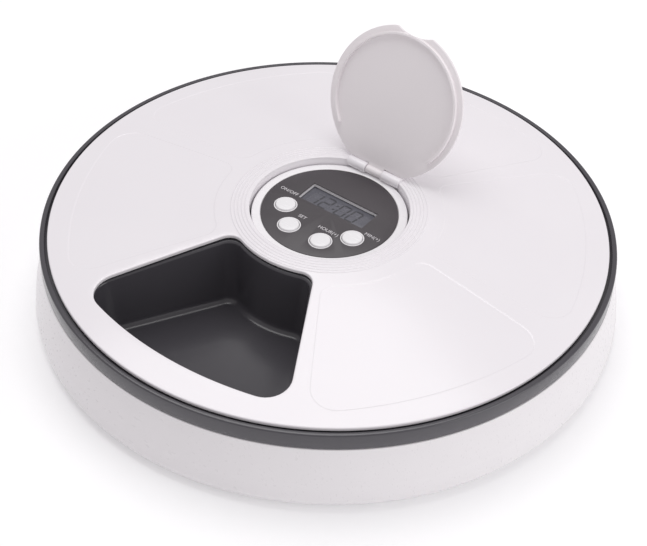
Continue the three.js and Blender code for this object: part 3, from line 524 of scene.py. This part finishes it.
natural_acetal = acetal("acetal_natural", "E9E4D6")
turned_steel = bare_metal("turned_steel", "B4B7BB", 0.28, 0.3, (6.0, 1.0, 1.0))
for number, (low, high) in enumerate(roller_boxes, 1):
    middle = (low + high) / 2
    heading = math.atan2(middle.y, middle.x)
    radius, width = 4.5, 6.0
    roller = turned(rounded([
        (pin_bore, -width / 2, 0.2), (2.4, -width / 2, 0.1), (2.5, -width / 2 + 0.4, 0.1),
        (3.4, -width / 2 + 0.4, 0.1), (3.5, -width / 2, 0.1), (radius, -width / 2, 0.5),
        (radius, width / 2, 0.5), (3.5, width / 2, 0.1), (3.4, width / 2 - 0.4, 0.1),
        (2.5, width / 2 - 0.4, 0.1), (2.4, width / 2, 0.1), (pin_bore, width / 2, 0.2),
    ], steps=3), steps=64)
    pin = soften(cylinder(1, -5.1, 5.1, sides=24), 0.2, segments=2)
    for part in (roller, pin):
        moved(part, turn=math.pi / 2, axis="Y")
        moved(part, turn=heading)
        moved(part, by=middle)
    placed(roller, f"roller_{number}", natural_acetal, f"roller_{number}", "gear_acetal",
           f"tray_roller_{number}")
    placed(pin, f"roller_axle_{number}", turned_steel, "base", "steel", f"roller_pin_{number}")

# ---------------------------------------------------------------- drive
# A small geared motor on the deck turns the toothed sleeve round the column. The gears are natural
# acetal, the motor's pinion is machined brass, and the pins and the motor's can are steel.

machined_brass = bare_metal("machined_brass", "C9A55A", 0.3, 0.25)
drawn_steel = bare_metal("drawn_steel_can", "AEB1B5", 0.34, 0.35, (1.0, 1.0, 6.0))
coated(natural_acetal, "drive_gear", "reduction_gear", "gear_plate")
coated(drawn_steel, "motor")
coated(machined_brass, "motor_pinion")
coated(turned_steel, "drive_gear_pin", "reduction_gear_pin")

sleeve_low, sleeve_high = box_mm("turntable")
sleeve_top, lug_height = sleeve_high.z - 2.2, 2.2
sleeve = turned(rounded([
    (46.0, sleeve_low.z, 0.3), (52.6, sleeve_low.z, 0.4), (52.6, sleeve_top, 0.3),
    (50.35, sleeve_top, 0.3), (50.35, sleeve_low.z + 8.7, 0), (46.0, sleeve_low.z + 8.7, 0.2),
], steps=3), steps=156)
pitch_angle = 2 * math.pi / 78
teeth = []
for tooth in range(78):
    for radius, share in ((50.25, -0.3), (47.69, -0.11), (47.69, 0.11), (50.25, 0.3)):
        angle = math.pi + (tooth + share) * pitch_angle
        teeth.append((radius * math.cos(angle), radius * math.sin(angle)))
sleeve = merged(sleeve, [plate(teeth, sleeve_low.z + 1.7, sleeve_low.z + 9.5)], "DIFFERENCE")
lugs = []
for number in range(3):
    lug = soften(block((50.55, 52.45), (-4, 4), (sleeve_top - 1, sleeve_top + lug_height)), 0.3)
    lugs.append(moved(lug, turn=number * 2 * math.pi / 3))
placed(merged(sleeve, lugs, "UNION"), "toothed_sleeve", natural_acetal, "turntable",
       "gear_acetal", "turntable")

# ---------------------------------------------------------------- tray
# The six-pocket tray is one moulding in glossy charcoal ABS. Its top follows the cover's dome, its
# pockets have rolled rims, drafted walls and coved floors, and its rim band shows all the way round.

cover_high = box_mm("cover")[1]
housing_low, housing_high = box_mm("control_housing")
cover_radius = cover_high.x
housing_radius = -housing_low.x
cover_hole = housing_radius + 1.0
hinge_z = cover_high.z - 3.0
lid_wall, cover_wall, cover_tray_gap = 1.6, 2.2, 1.0
crown = hinge_z + lid_wall
dome_rise = crown - (band_top + 0.85)


def dome(radius):
    """Height of the cover's top, which falls away from the centre hole to the rim."""
    outward = max(0.0, radius - cover_hole) / (cover_radius - cover_hole)
    return crown - dome_rise * outward ** 1.2


def tray_top(radius):
    """Height of the tray's top: the cover's wall and the gap under it, below the dome."""
    return dome(radius) - cover_wall - cover_tray_gap


def arc(centre, radius, start, end, steps):
    """Points along an arc, without its last one."""
    angles = [start + (end - start) * k / steps for k in range(steps)]
    return [centre + radius * Vector((math.cos(a), math.sin(a))) for a in angles]


bow_back = 52  # the outer side bends about a point this far behind the middle


def sector_corners(sector, grow=0.0):
    """Centre, radius, start and end angle of the outer and the inner corner of a grown sector."""
    inner, outer, half, offset, outer_corner, inner_corner = sector
    inner, outer, offset = inner - grow, outer + grow, offset - grow
    outer_corner, inner_corner = outer_corner + grow, inner_corner + grow
    side = Vector((math.cos(half), math.sin(half)))
    inward = Vector((math.sin(half), -math.cos(half)))
    bow = Vector((-bow_back, 0))
    start = inward * (offset + outer_corner)
    along = (start - bow).dot(side)
    reach = math.sqrt(along ** 2 - (start - bow).length_squared + (outer + bow_back - outer_corner) ** 2)
    outer_centre = start + side * (reach - along)
    lift = offset + inner_corner
    inner_centre = inward * lift + side * math.sqrt((inner + inner_corner) ** 2 - lift ** 2)
    outer_angle = math.atan2(outer_centre.y, outer_centre.x + bow_back)
    inner_angle = math.atan2(inner_centre.y, inner_centre.x)
    normal = half + math.pi / 2
    return ((outer_centre, outer_corner, outer_angle, normal),
            (inner_centre, inner_corner, normal, inner_angle + math.pi))


def sector_loop(sector, grow=0.0):
    """Outline of one sixth of the ring along +X, grown outwards: straight sides, a flattened outer
    arc, an inner arc about the middle and rounded corners."""
    outer_turn, inner_turn = sector_corners(sector, grow)
    inner, outer = sector[0] - grow, sector[1] + grow
    edge = Vector((math.cos(outer_turn[3]), math.sin(outer_turn[3])))
    side_start, side_end = outer_turn[0] + edge * outer_turn[1], inner_turn[0] + edge * inner_turn[1]
    upper = arc(Vector((-bow_back, 0)), outer + bow_back, 0, outer_turn[2], 22)
    upper += arc(*outer_turn, 10)
    upper += [side_start.lerp(side_end, k / 20) for k in range(20)]
    upper += arc(*inner_turn, 8)
    upper += arc(Vector((0, 0)), inner, inner_turn[3] - math.pi, 0, 10) + [Vector((inner, 0))]
    return upper + [Vector((p.x, -p.y)) for p in upper[-2:0:-1]]


corners_of = {}


def sector_depth(point, sector):
    """How far a point lies inside the nearest of the six sectors, the first of which faces -Y."""
    inner, outer, half, offset = sector[:4]
    angle = math.atan2(point.y, point.x) + math.pi / 2
    angle -= round(angle / (math.pi / 3)) * math.pi / 3
    radius = point.length
    x, y = radius * math.cos(angle), abs(radius * math.sin(angle))
    if sector not in corners_of:
        corners_of[sector] = sector_corners(sector)
    for centre, corner, start, end in corners_of[sector]:
        if start <= math.atan2(y - centre.y, x - centre.x) % (2 * math.pi) <= end:
            return corner - math.hypot(x - centre.x, y - centre.y)
    return min(x * math.sin(half) - y * math.cos(half) - offset,
               outer + bow_back - math.hypot(x + bow_back, y), radius - inner)


def quarter_turn(steps):
    """The angles of a quarter turn in equal steps, with both ends."""
    return [math.pi / 2 * k / steps for k in range(steps + 1)]


def circle(radius, points=240):
    """A circle about the centre line."""
    return arc(Vector((0, 0)), radius, 0, 2 * math.pi, points)


def domed_sheet(loops, height, keep, spacing=4.0):
    """A sheet laid over height(point), where keep(point) holds, with its mesh edges on the loops."""
    points, edges = [], []
    for loop in loops:
        first, count = len(points), len(loop)
        points += loop
        edges += [(first + i, first + (i + 1) % count) for i in range(count)]
    near = KDTree(len(points))
    for i, point in enumerate(points):
        near.insert((*point, 0), i)
    near.balance()
    radius = 46.0
    while radius < 153:
        for point in circle(radius, round(2 * math.pi * radius / spacing)):
            if near.find((*point, 0))[2] > spacing * 0.45:
                points.append(point)
        radius += spacing * 0.87
    spots, _, corners, *_ = delaunay_2d_cdt(points, edges, [], 0, 1e-6)
    bm = bmesh.new()
    verts = [bm.verts.new((*spot, height(spot))) for spot in spots]
    for face in corners:
        if keep(sum((spots[i] for i in face), Vector((0, 0))) / 3):
            bm.faces.new([verts[i] for i in face])
    bmesh.ops.delete(bm, geom=[vert for vert in verts if not vert.link_faces], context="VERTS")
    return bm


def drawn(loops, floor=False):
    """A skin drawn through a row of closed loops of points, with a flat floor if asked."""
    bm = bmesh.new()
    ring = [bm.verts.new(point) for point in loops[0]]
    edges = [bm.edges.new((ring[i - 1], ring[i])) for i in range(len(ring))]
    for loop in loops[1:]:
        spot = {vert: i for i, vert in enumerate(ring)}
        geom = bmesh.ops.extrude_edge_only(bm, edges=edges)["geom"]
        ahead = [None] * len(ring)
        for vert in (part for part in geom if isinstance(part, bmesh.types.BMVert)):
            for edge in vert.link_edges:
                if edge.other_vert(vert) in spot:
                    ahead[spot[edge.other_vert(vert)]] = vert
        for vert, place in zip(ahead, loop):
            vert.co = place
        ring = ahead
        edges = [part for part in geom if isinstance(part, bmesh.types.BMEdge)]
    if floor:
        bmesh.ops.edgeloop_fill(bm, edges=edges)
    return bm


pocket = (55.45, 135.7, math.pi / 6, 2.6, 13, 8)
roll, pocket_floor, cove = 1.6, tray_low.z + tray_sheet, 4.0
hub_bore, tray_bore, band_inner = 48.0, 53.25, band_radius - band_wall
mouth_middle = (pocket[0] + pocket[1]) / 2
full_height = tray_top(mouth_middle) - pocket_floor


def drafted(point, height):
    """A point of the pocket's mouth brought in as its wall leans towards the floor."""
    scale = 0.95 + 0.05 * min(1.0, max(0.0, (height - pocket_floor) / full_height))
    return Vector((mouth_middle + (point.x - mouth_middle) * scale, point.y * scale, height))


rows = []
for lean in quarter_turn(6):
    rows.append([Vector((*p, tray_top(p.length) - roll * (1 - math.cos(lean))))
                 for p in sector_loop(pocket, roll * (1 - math.sin(lean)))])
mouth = rows[-1]
for share in (0.2, 0.4, 0.6, 0.8):
    rows.append([drafted(p, p.z + (pocket_floor + cove - p.z) * share) for p in mouth])
for lean in quarter_turn(6):
    rows.append([drafted(p, pocket_floor + cove * (1 - math.sin(lean)))
                 for p in sector_loop(pocket, -cove * (1 - math.cos(lean)))])
headings = [-math.pi / 2 + k * math.pi / 3 for k in range(6)]
pockets = [moved(drawn(rows, floor=True), turn=heading) for heading in headings]
mouths = []
for heading in headings:
    spin = Matrix.Rotation(heading, 2)
    mouths.append([spin @ p for p in sector_loop(pocket, roll)])
top = domed_sheet([circle(hub_bore), circle(band_inner), *mouths],
                  lambda p: tray_top(p.length),
                  lambda p: hub_bore < p.length < band_inner and sector_depth(p, pocket) < -roll)
wall_foot, hub_flange, band_face = pocket[1] + 1 + tray_sheet, 2.5, band_radius - 0.02
underside = turned(rounded([
    (hub_bore, tray_top(hub_bore), 0), (hub_bore, tray_top(hub_bore) - hub_flange, 0.3),
    (tray_bore, tray_top(hub_bore) - hub_flange, 0), (tray_bore, tray_low.z, 0.8),
    (wall_foot, tray_low.z, 2.0), (wall_foot + 3, tray_top(wall_foot + 3) - tray_sheet, 1.5),
    (band_inner, tray_top(band_inner) - tray_sheet, 0.5), (band_inner, band_top - band_height, 0.4),
    (band_face, band_top - band_height, 0.6), (band_face, band_top, 0.9),
    (band_inner, band_top, 0.5), (band_inner, tray_top(band_inner), 0),
]), steps=240, skin=True)
tray = tidied(together(underside, top, *pockets))
slots = []
for number in range(3):
    slot = block((49.95, 53.05), (-4.4, 4.4), (tray_top(hub_bore) - 4, crown))
    slots.append(moved(slot, turn=number * 2 * math.pi / 3))
charcoal = moulded_abs("charcoal_abs_gloss", "4D4B50", "444247", gloss=0.2, flow_mm=50, ripple=0.12)
placed(merged(tray, slots, "DIFFERENCE"), "pocket_tray", charcoal, "tray", "dark_abs", "tray",
       crease=38)

# ---------------------------------------------------------------- control unit
# A white cup screwed into the column from below. Its rim shows as a ring round the dark overlay; it
# has a display opening, four rimmed button holes, and the circuit board hangs under its plate.

panel = housing_high.z
housing_white = moulded_abs("white_abs_housing", "F5F3F5", "EFEDEF", gloss=0.28)
ring_radius = housing_radius - 5.0
button_boxes = {name: box_mm(f"button_{name}") for name in ("power", "set", "hour", "minute")}
button_places = {name: middle_of(f"button_{name}").xy for name in button_boxes}
housing = turned(rounded([
    (0, panel - 2.25, 0), (housing_radius - 2, panel - 2.25, 0),
    (housing_radius - 2, housing_low.z, 0.3), (housing_radius, housing_low.z, 0.3),
    (housing_radius, panel - 0.02, 0.7), (ring_radius + 0.3, panel - 0.02, 0.25),
    (ring_radius + 0.3, panel - 0.75, 0.1), (0, panel - 0.75, 0),
]), steps=160)
extras = [block((housing_radius - 1, housing_radius + 0.6), (-2, 2),
                (tub_high.z + 1, panel - 3))]
standoffs = ((28, 8), (-28, 8), (0, -29))
gear_plate_top, board_top = box_mm("gear_plate")[1].z, box_mm("circuit_board")[1].z
extras += columns(screw_places, 3.5, gear_plate_top + touch_gap, panel - 1.75)
extras += columns(standoffs, 2.5, board_top + touch_gap, panel - 1.75)
extras += columns(button_places.values(), 6.4, panel - 1, panel + 0.02, 64)
housing = merged(housing, extras, "UNION")
display_low, display_high = box_mm("display")
opening_x, opening_y = (-21.5, 21.5), (display_low.y + 2, display_high.y - 2)
cuts = [block(opening_x, opening_y, (panel - 4, panel + 1))]
cuts += columns(button_places.values(), 5.85, panel - 4, panel + 1, 64)
cuts += columns(screw_places, 1.8, gear_plate_top, panel - 3.25, 20)
cuts += columns(standoffs, 1.2, board_top, panel - 3.25, 20)
placed(merged(housing, cuts, "DIFFERENCE"), "control_cup", housing_white, "base", "white_abs",
       "control_housing")


def printed_film(name, colour, shade):
    """Printed film or ink: satin, with a velvet texture of about 0.3 mm."""
    material, output, where = new_material(name)
    velvet = add_node(material, "ShaderNodeTexVoronoi", {"Vector": where, "Scale": 3200.0})
    return surfaced(material, output, {
        "Base Color": clouded(material, where, 45.0, 2.0, linear(colour), linear(shade)),
        "Normal": pressed(material, velvet.outputs["Distance"], 0.2, 0.00002),
        "Roughness": 0.42, "IOR": 1.58})


overlay_film = printed_film("polycarbonate_film_charcoal", "3F3A3E", "393438")
overlay = turned(rounded([(0, panel - 0.4, 0), (ring_radius, panel - 0.4, 0.05),
                          (ring_radius, panel, 0.12), (0, panel, 0)], steps=2), steps=160)
cuts = [block(opening_x, opening_y, (panel - 2, panel + 1))]
cuts += columns(button_places.values(), 6.5, panel - 2, panel + 1, 64)
placed(merged(overlay, cuts, "DIFFERENCE"), "panel_film", overlay_film, "base", "panel_print",
       "panel_overlay")

# Printed function names, in white ink a few hundredths of a millimetre thick.
white_ink = printed_film("screen_ink_white", "DAD7DA", "CECBCE")


def lettered(words, height, middle, level):
    """Words as a thin printed layer, centred on a point."""
    curve = bpy.data.curves.new("words", "FONT")
    curve.body, curve.size, curve.extrude = words, height / 0.7, 0.02
    curve.align_x, curve.align_y = "CENTER", "CENTER"
    holder = bpy.data.objects.new("words", curve)
    bpy.context.scene.collection.objects.link(holder)
    flat = bpy.data.meshes.new_from_object(
        holder.evaluated_get(bpy.context.evaluated_depsgraph_get()))
    bm = bmesh.new()
    bm.from_mesh(flat)
    bpy.data.objects.remove(holder)
    bpy.data.curves.remove(curve)
    bpy.data.meshes.remove(flat)
    bmesh.ops.remove_doubles(bm, verts=bm.verts, dist=0.0001)
    bmesh.ops.recalc_face_normals(bm, faces=bm.faces)
    return moved(bm, by=(*middle, level + 0.02))


for name, words, middle in (("power", "ON/OFF", (-28.0, 0.7)), ("set", "SET", (-8.9, -12.4)),
                            ("hour", "HOUR(+)", (9.0, -13.1)), ("minute", "MIN(+)", (30.2, -2.3))):
    placed(lettered(words, 2.25, middle, panel), f"label_{name}", white_ink, "base", "panel_print")

# Push buttons: glossy caps with a rounded shoulder and a barely crowned face, sprung by the
# switches behind them.
button_white = moulded_abs("white_abs_button", "F1F0F1", "ECEBED", gloss=0.26)
for name, (low, high) in button_boxes.items():
    radius = (high.x - low.x) / 2
    cap = turned(rounded([
        (0, low.z, 0), (radius, low.z, 0.1), (radius, low.z + 0.9, 0.1), (5.5, low.z + 0.9, 0),
        (5.5, high.z - 0.12, 0.75), (2.5, high.z - 0.01, 0), (0, high.z, 0),
    ], steps=5), steps=64)
    placed(moved(cap, by=(*button_places[name], 0)), f"push_{name}", button_white,
           f"button_{name}", "white_abs", f"button_{name}")

# ---------------------------------------------------------------- display
# A reflective liquid-crystal module: dark grey glass behind a polariser, a plain clock reading in
# slanted seven-bar figures, and the faint ghosts of the bars that are off.


def display_glass(name, colour, shade):
    """Polarised display glass: flat grey with a soft cloud, and smears that only its gloss shows."""
    material, output, where = new_material(name)
    cloud = noise(material, where, 60.0, 1.0)
    return surfaced(material, output, {
        "Base Color": clouded(material, where, 60.0, 1.0, linear(colour), linear(shade)),
        "Roughness": ranged(material, cloud, 0.16, 0.26), "IOR": 1.5})


glass_grey = display_glass("lcd_glass_grey", "66666E", "5E5E66")
module = soften(block((display_low.x, display_high.x), (display_low.y, display_high.y),
                      (display_low.z, display_high.z)), 0.3)
placed(module, "display_module", glass_grey, "base", "display_glass", "display")


figure_height, figure_pitch, colon_pitch, slant = 9.4, 7.7, 2.9, 0.16


def figure_bars(lit):
    """The outlines of one figure's bars; lit names those that are on."""
    wide, high, thick, gap = 5.2, figure_height, 0.95, 0.2
    half = thick / 2
    spots = {"a": (0, high, True), "g": (0, high / 2, True), "d": (0, 0, True),
             "f": (0, high / 2, False), "b": (wide, high / 2, False),
             "e": (0, 0, False), "c": (wide, 0, False)}
    for bar, (x, y, level) in spots.items():
        if bar not in lit:
            continue
        run = wide if level else high / 2
        outline = [(gap, 0), (gap + half, half), (run - gap - half, half), (run - gap, 0),
                   (run - gap - half, -half), (gap + half, -half)]
        yield [(x + u, y + v) if level else (x - v, y + u) for u, v in outline]


figures = {"0": "abcdef", "1": "bc", "2": "abged", "8": "abcdefg"}
middle_y = (opening_y[0] + opening_y[1]) / 2


def reading(text, level):
    """A row of figures as thin bars on the glass."""
    bars = []
    x = -18.4
    for sign in text:
        if sign == ":":
            outlines = [[(0.2, y), (1.3, y), (1.3, y + 1.1), (0.2, y + 1.1)] for y in (2.4, 6.0)]
        else:
            outlines = figure_bars(figures[sign])
        for outline in outlines:
            slanted = [(x + u + slant * v, v + middle_y - figure_height / 2) for u, v in outline]
            bars.append(plate(slanted, level, level + 0.03))
        x += colon_pitch if sign == ":" else figure_pitch
    return together(*bars)


dark_crystal = printed_film("liquid_crystal_dark", "34343A", "303036")
faint_crystal = printed_film("liquid_crystal_ghost", "5A5A62", "55555D")
placed(reading("12:00", display_high.z + 0.04), "display_figures", dark_crystal, "base",
       "display_glass")
placed(reading("88:88", display_high.z), "display_ghosts", faint_crystal, "base", "display_glass")

# ---------------------------------------------------------------- board, switches and screws
# Under the plate: a green fibreglass board with black tactile switches, held by small steel screws,
# and three long cross-head screws that come up from the underside of the tub.


def fibreglass(name, mask, copper):
    """Solder-masked fibreglass: glossy green, with a grid of copper tracks showing through."""
    material, output, where = new_material(name)
    tracks = add_node(material, "ShaderNodeTexBrick",
                      {"Vector": where, "Scale": 100.0, "Mortar Size": 0.05, "Color1": linear(mask),
                       "Color2": linear(mask), "Mortar": linear(copper)})
    return surfaced(material, output, {
        "Base Color": tracks.outputs["Color"],
        "Normal": grained(material, where, 900.0, 1.0, 0.2, 0.00002),
        "Roughness": 0.32, "IOR": 1.52})


board_green = fibreglass("solder_mask_green", "1F5A34", "3F7A3C")
switch_black = rubber("switch_black_moulded", "1B1B1D")
coated(board_green, "circuit_board")
coated(switch_black, *[f"switch_{name}" for name in button_boxes])
coated(turned_steel, *[f"board_screw_{number}" for number in (1, 2, 3)])
for number, place in enumerate(screw_places, 1):
    low, high = box_mm(f"housing_screw_{number}")
    screw = turned(rounded([
        (0, low.z, 0), (2.8, low.z, 0.6), (2.8, low.z + 2, 0.2), (1.5, low.z + 2, 0),
        (1.5, high.z - 1, 0), (0.3, high.z, 0), (0, high.z, 0),
    ], steps=3), steps=40)
    recess = [block((-1.7, 1.7), (-0.35, 0.35), (low.z - 1, low.z + 1.1)),
              block((-0.35, 0.35), (-1.7, 1.7), (low.z - 1, low.z + 1.1))]
    screw = merged(screw, recess, "DIFFERENCE")
    placed(moved(screw, by=(*place, 0)), f"long_screw_{number}", turned_steel, "base", "steel",
           f"housing_screw_{number}")

# ---------------------------------------------------------------- cover
# The white cover is a thin glossy dome with a window over one pocket, five shallow panels of the
# same outline, fine beads round the centre hole, a collar on the column and two hinge knuckles.

cover_white = moulded_abs("white_abs_cover", "F2EFF2", "ECE8EC", gloss=0.18, flow_mm=90, ripple=0.12)
window = (54.4, cover_radius - 17, math.radians(28.8), 0.0, 13, 8)
raised = (62.0, 139.0, math.radians(27.2), 0.0, 13, 8)
beads = [45.4 + 1.9 * k for k in range(5)]
panel_step, bead_rise, bead_half = 0.15, 0.34, 0.55
lip_roll, rim_roll, hole_roll, under_bevel = 0.7, 0.8, 0.6, 0.4


def in_window_sector(point):
    """Whether a point lies in the sixth that holds the window."""
    return -point.y > point.length * math.cos(math.pi / 6)


def cover_top(point):
    """Height of the cover's face, with its beads and its lowered panels."""
    radius = point.length
    height = dome(radius)
    for bead in beads:
        height += bead_rise * max(0.0, 1 - ((radius - bead) / bead_half) ** 2)
    if not in_window_sector(point):
        height -= panel_step * min(1.0, max(0.0, sector_depth(point, raised) / 0.4))
    return height


ridges = [circle(bead + reach) for bead in beads for reach in (-bead_half, -0.3, 0, 0.3, bead_half)]
panels = []
for heading in headings[1:]:
    spin = Matrix.Rotation(heading, 2)
    for grow in (0.35, 0, -0.2, -0.4, -0.8):
        panels.append([spin @ p for p in sector_loop(raised, grow)])
facing = Matrix.Rotation(headings[0], 2)
hole_radius, edge_radius = cover_hole + hole_roll, cover_radius - rim_roll
top = domed_sheet([circle(hole_radius), circle(edge_radius), *ridges, *panels,
                   [facing @ p for p in sector_loop(window, lip_roll)]], cover_top,
                  lambda p: hole_radius < p.length < edge_radius and not (
                      in_window_sector(p) and sector_depth(p, window) > -lip_roll))
collar, under_edge = cover_hole + 2.2, cover_radius - under_bevel
below = domed_sheet([circle(collar), circle(under_edge),
                     [facing @ p for p in sector_loop(window, under_bevel)]],
                    lambda p: dome(p.length) - cover_wall,
                    lambda p: collar < p.length < under_edge and not (
                        in_window_sector(p) and sector_depth(p, window) > -under_bevel), spacing=6.0)
rows = []
for lean in quarter_turn(5):
    rows.append([Vector((*p, cover_top(facing @ p) - lip_roll * (1 - math.cos(lean))))
                 for p in sector_loop(window, lip_roll * (1 - math.sin(lean)))])
rows.append([Vector((*p, dome(p.length) - cover_wall + under_bevel)) for p in sector_loop(window)])
rows.append([Vector((*p, dome(p.length) - cover_wall)) for p in sector_loop(window, under_bevel)])
lip = moved(drawn(rows), turn=headings[0])
hole_wall = [(hole_radius - hole_roll * math.sin(a), cover_top(Vector((hole_radius, 0)))
              - hole_roll * (1 - math.cos(a))) for a in (0, 0.4, 0.8, 1.2, math.pi / 2)]
hole_wall += [(cover_hole, tub_high.z + 0.5), (cover_hole + 0.2, tub_high.z + 0.3),
              (collar - 0.2, tub_high.z + 0.3), (collar, tub_high.z + 0.5),
              (collar, dome(collar) - cover_wall)]
rim_wall = [(edge_radius + rim_roll * math.sin(a), dome(edge_radius) - rim_roll
             * (1 - math.cos(a))) for a in (0, 0.3, 0.6, 0.9, 1.2, math.pi / 2)]
rim_wall += [(cover_radius, dome(under_edge) - cover_wall + under_bevel),
             (under_edge, dome(under_edge) - cover_wall)]
cover = tidied(together(top, below, lip, turned(hole_wall, 240, skin=True),
                        turned(rim_wall, 240, skin=True)))
hinge_y = cover_hole - 1.8
knuckle_start, knuckle_end, tongue_half = 5.5, 17.5, 5.2
cover = merged(cover, [
    block((housing_radius, cover_hole + 1), (-2.4, 2.4), (tub_high.z, panel - 1)),
    block((-knuckle_start, knuckle_start), (hinge_y - 4, hinge_y + 3.7), (panel + 0.2, crown + 5)),
], "DIFFERENCE")
start, end = math.radians(227.2), math.radians(18)
profile = [(44.3, panel + 0.3)]
for k in range(25):
    angle = start + (end - start) * k / 24
    profile.append((hinge_y + 3 * math.cos(angle), hinge_z + 3 * math.sin(angle)))
profile.append((44.3, hinge_z + 0.7))
knuckles = []
for near, far in ((-knuckle_end, -knuckle_start), (knuckle_start, knuckle_end)):
    knuckle = soften(plate(profile, near, far), 0.35, angle=60)
    bmesh.ops.transform(knuckle, matrix=Matrix(((0, 0, 1, 0), (1, 0, 0, 0), (0, 1, 0, 0), (0, 0, 0, 1))),
                        verts=knuckle.verts)
    bore = rod(pin_bore, near - 1, far + 1)
    knuckles.append(merged(knuckle, [moved(bore, by=(0, hinge_y, hinge_z))], "DIFFERENCE"))
placed(together(cover, *knuckles), "dome_cover", cover_white, "cover", "white_abs", "cover",
       crease=38)
coated(turned_steel, "hinge_pin")

# ---------------------------------------------------------------- lid
# A thin white flap over the control panel: a disc with a scooped finger notch, a low skirt set in
# from its edge, and a tongue that turns on the pin between the knuckles. It stands open.

lid_white = moulded_abs("white_abs_lid", "F3EEF0", "EDE8EA", gloss=0.36, ripple=0.2)
lid_radius, notch_radius = cover_hole - 1.3, 26.5
notch_y = -(lid_radius - 4 + notch_radius)
corner_y = (lid_radius ** 2 - notch_radius ** 2 + notch_y ** 2) / (2 * notch_y)
corner_x = math.sqrt(lid_radius ** 2 - corner_y ** 2)
chord_y = hinge_y - 3.5
chord_x = math.sqrt(lid_radius ** 2 - chord_y ** 2)
start, end = math.atan2(corner_y, corner_x), math.atan2(chord_y, chord_x)
half_turn = arc(Vector((0, 0)), lid_radius, start, end, 70)
outline = [(*half_turn[0], 1.2)] + [(*p, 0) for p in half_turn[2:-1]] + [(chord_x, chord_y, 1.0)]
outline += [(-x, y, fillet) for x, y, fillet in reversed(outline)]
start = math.atan2(corner_y - notch_y, -corner_x)
end = math.atan2(corner_y - notch_y, corner_x)
outline += [(*p, 0) for p in arc(Vector((0, notch_y)), notch_radius, start, end, 26)[2:-1]]
disc = soften(plate(rounded(outline), hinge_z, crown), 0.45)
skirt_outer, skirt_inner, skirt_end = ring_radius + 1.3, ring_radius - 0.3, math.radians(128.5)
outer_line, inner_line = [], []
for k in range(91):
    away = -skirt_end + 2 * skirt_end * k / 90
    reach = skirt_outer
    inside = notch_radius ** 2 - (notch_y * math.sin(away)) ** 2
    if inside > 0 and abs(away) < 0.6:
        reach = min(reach, -notch_y * math.cos(away) - math.sqrt(inside))
    outer_line.append((reach * math.sin(away), -reach * math.cos(away)))
    inner_line.append((skirt_inner * math.sin(away), -skirt_inner * math.cos(away)))
skirt = soften(plate(outer_line + inner_line[::-1], panel + 0.3, hinge_z + 0.5), 0.3, segments=2)
nub = soften(block((-2.6, 2.6), (-38.7, -37.5), (panel + 0.35, panel + 1.3)), 0.3)
web = block((-tongue_half, tongue_half), (chord_y - 0.5, hinge_y), (hinge_z, crown))
barrel = rod(hinge_z - panel - 0.3, -tongue_half, tongue_half, 40)
tongue = merged(web, [moved(soften(barrel, 0.25, 60), by=(0, hinge_y, hinge_z))], "UNION")
lid = merged(disc, [skirt, nub, tongue], "UNION")
lid = merged(lid, [moved(rod(pin_bore, -7, 7), by=(0, hinge_y, hinge_z))], "DIFFERENCE")
moved(lid, turn=-math.radians(112), axis="X", about=(0, hinge_y, hinge_z))
placed(lid, "flip_lid", lid_white, "lid", "white_abs", "lid", crease=38)

# ---------------------------------------------------------------- studio
# A pale table, a large soft lamp overhead, a weaker one at the right, and even room light.

paper = bpy.data.materials.new("pale_table")
paper.use_nodes = True
surface = paper.node_tree.nodes["Principled BSDF"]
surface.inputs["Base Color"].default_value = linear("F6F6F7")
surface.inputs["Roughness"].default_value = 0.75
surface.inputs["Emission Color"].default_value = (1, 1, 1, 1)
surface.inputs["Emission Strength"].default_value = 0.16
table_top = bmesh.new()
bmesh.ops.create_grid(table_top, x_segments=1, y_segments=1, size=6)
table = as_object(table_top, "table", paper)

room = bpy.data.worlds.new("room")
room.use_nodes = True
room.node_tree.nodes["Background"].inputs["Color"].default_value = linear("FAF7F9")
room.node_tree.nodes["Background"].inputs["Strength"].default_value = 0.57
bpy.context.scene.world = room
bpy.context.scene.view_settings.view_transform = "Standard"


def lamp(name, place, target, size, power):
    """A round lamp that faces its target."""
    light = bpy.data.lights.new(name, "AREA")
    light.shape, light.size, light.energy = "DISK", size, power
    holder = bpy.data.objects.new(name, light)
    holder.location = place
    holder.rotation_euler = (Vector(target) - Vector(place)).to_track_quat("-Z", "Y").to_euler()
    bpy.context.scene.collection.objects.link(holder)


lamp("overhead", (-0.35, 0.25, 1.5), (0, 0, 0.05), 1.3, 10.5)
lamp("right_side", (1.3, 0.05, 0.5), (0, 0, 0.03), 0.9, 4.6)

lens = bpy.data.cameras.new("camera")
lens.lens, lens.sensor_width = 89.03, 36.0
camera = bpy.data.objects.new("camera", lens)
right, up, ahead = ((0.79622, 0.60436, 0.02800), (-0.41842, 0.51664, 0.74700),
                    (-0.43699, 0.60649, -0.66423))
camera.matrix_world = Matrix((
    (right[0], up[0], -ahead[0], 0.38896),
    (right[1], up[1], -ahead[1], -0.54328),
    (right[2], up[2], -ahead[2], 0.60684),
    (0, 0, 0, 1)))
bpy.context.scene.collection.objects.link(camera)
bpy.context.scene.camera = camera
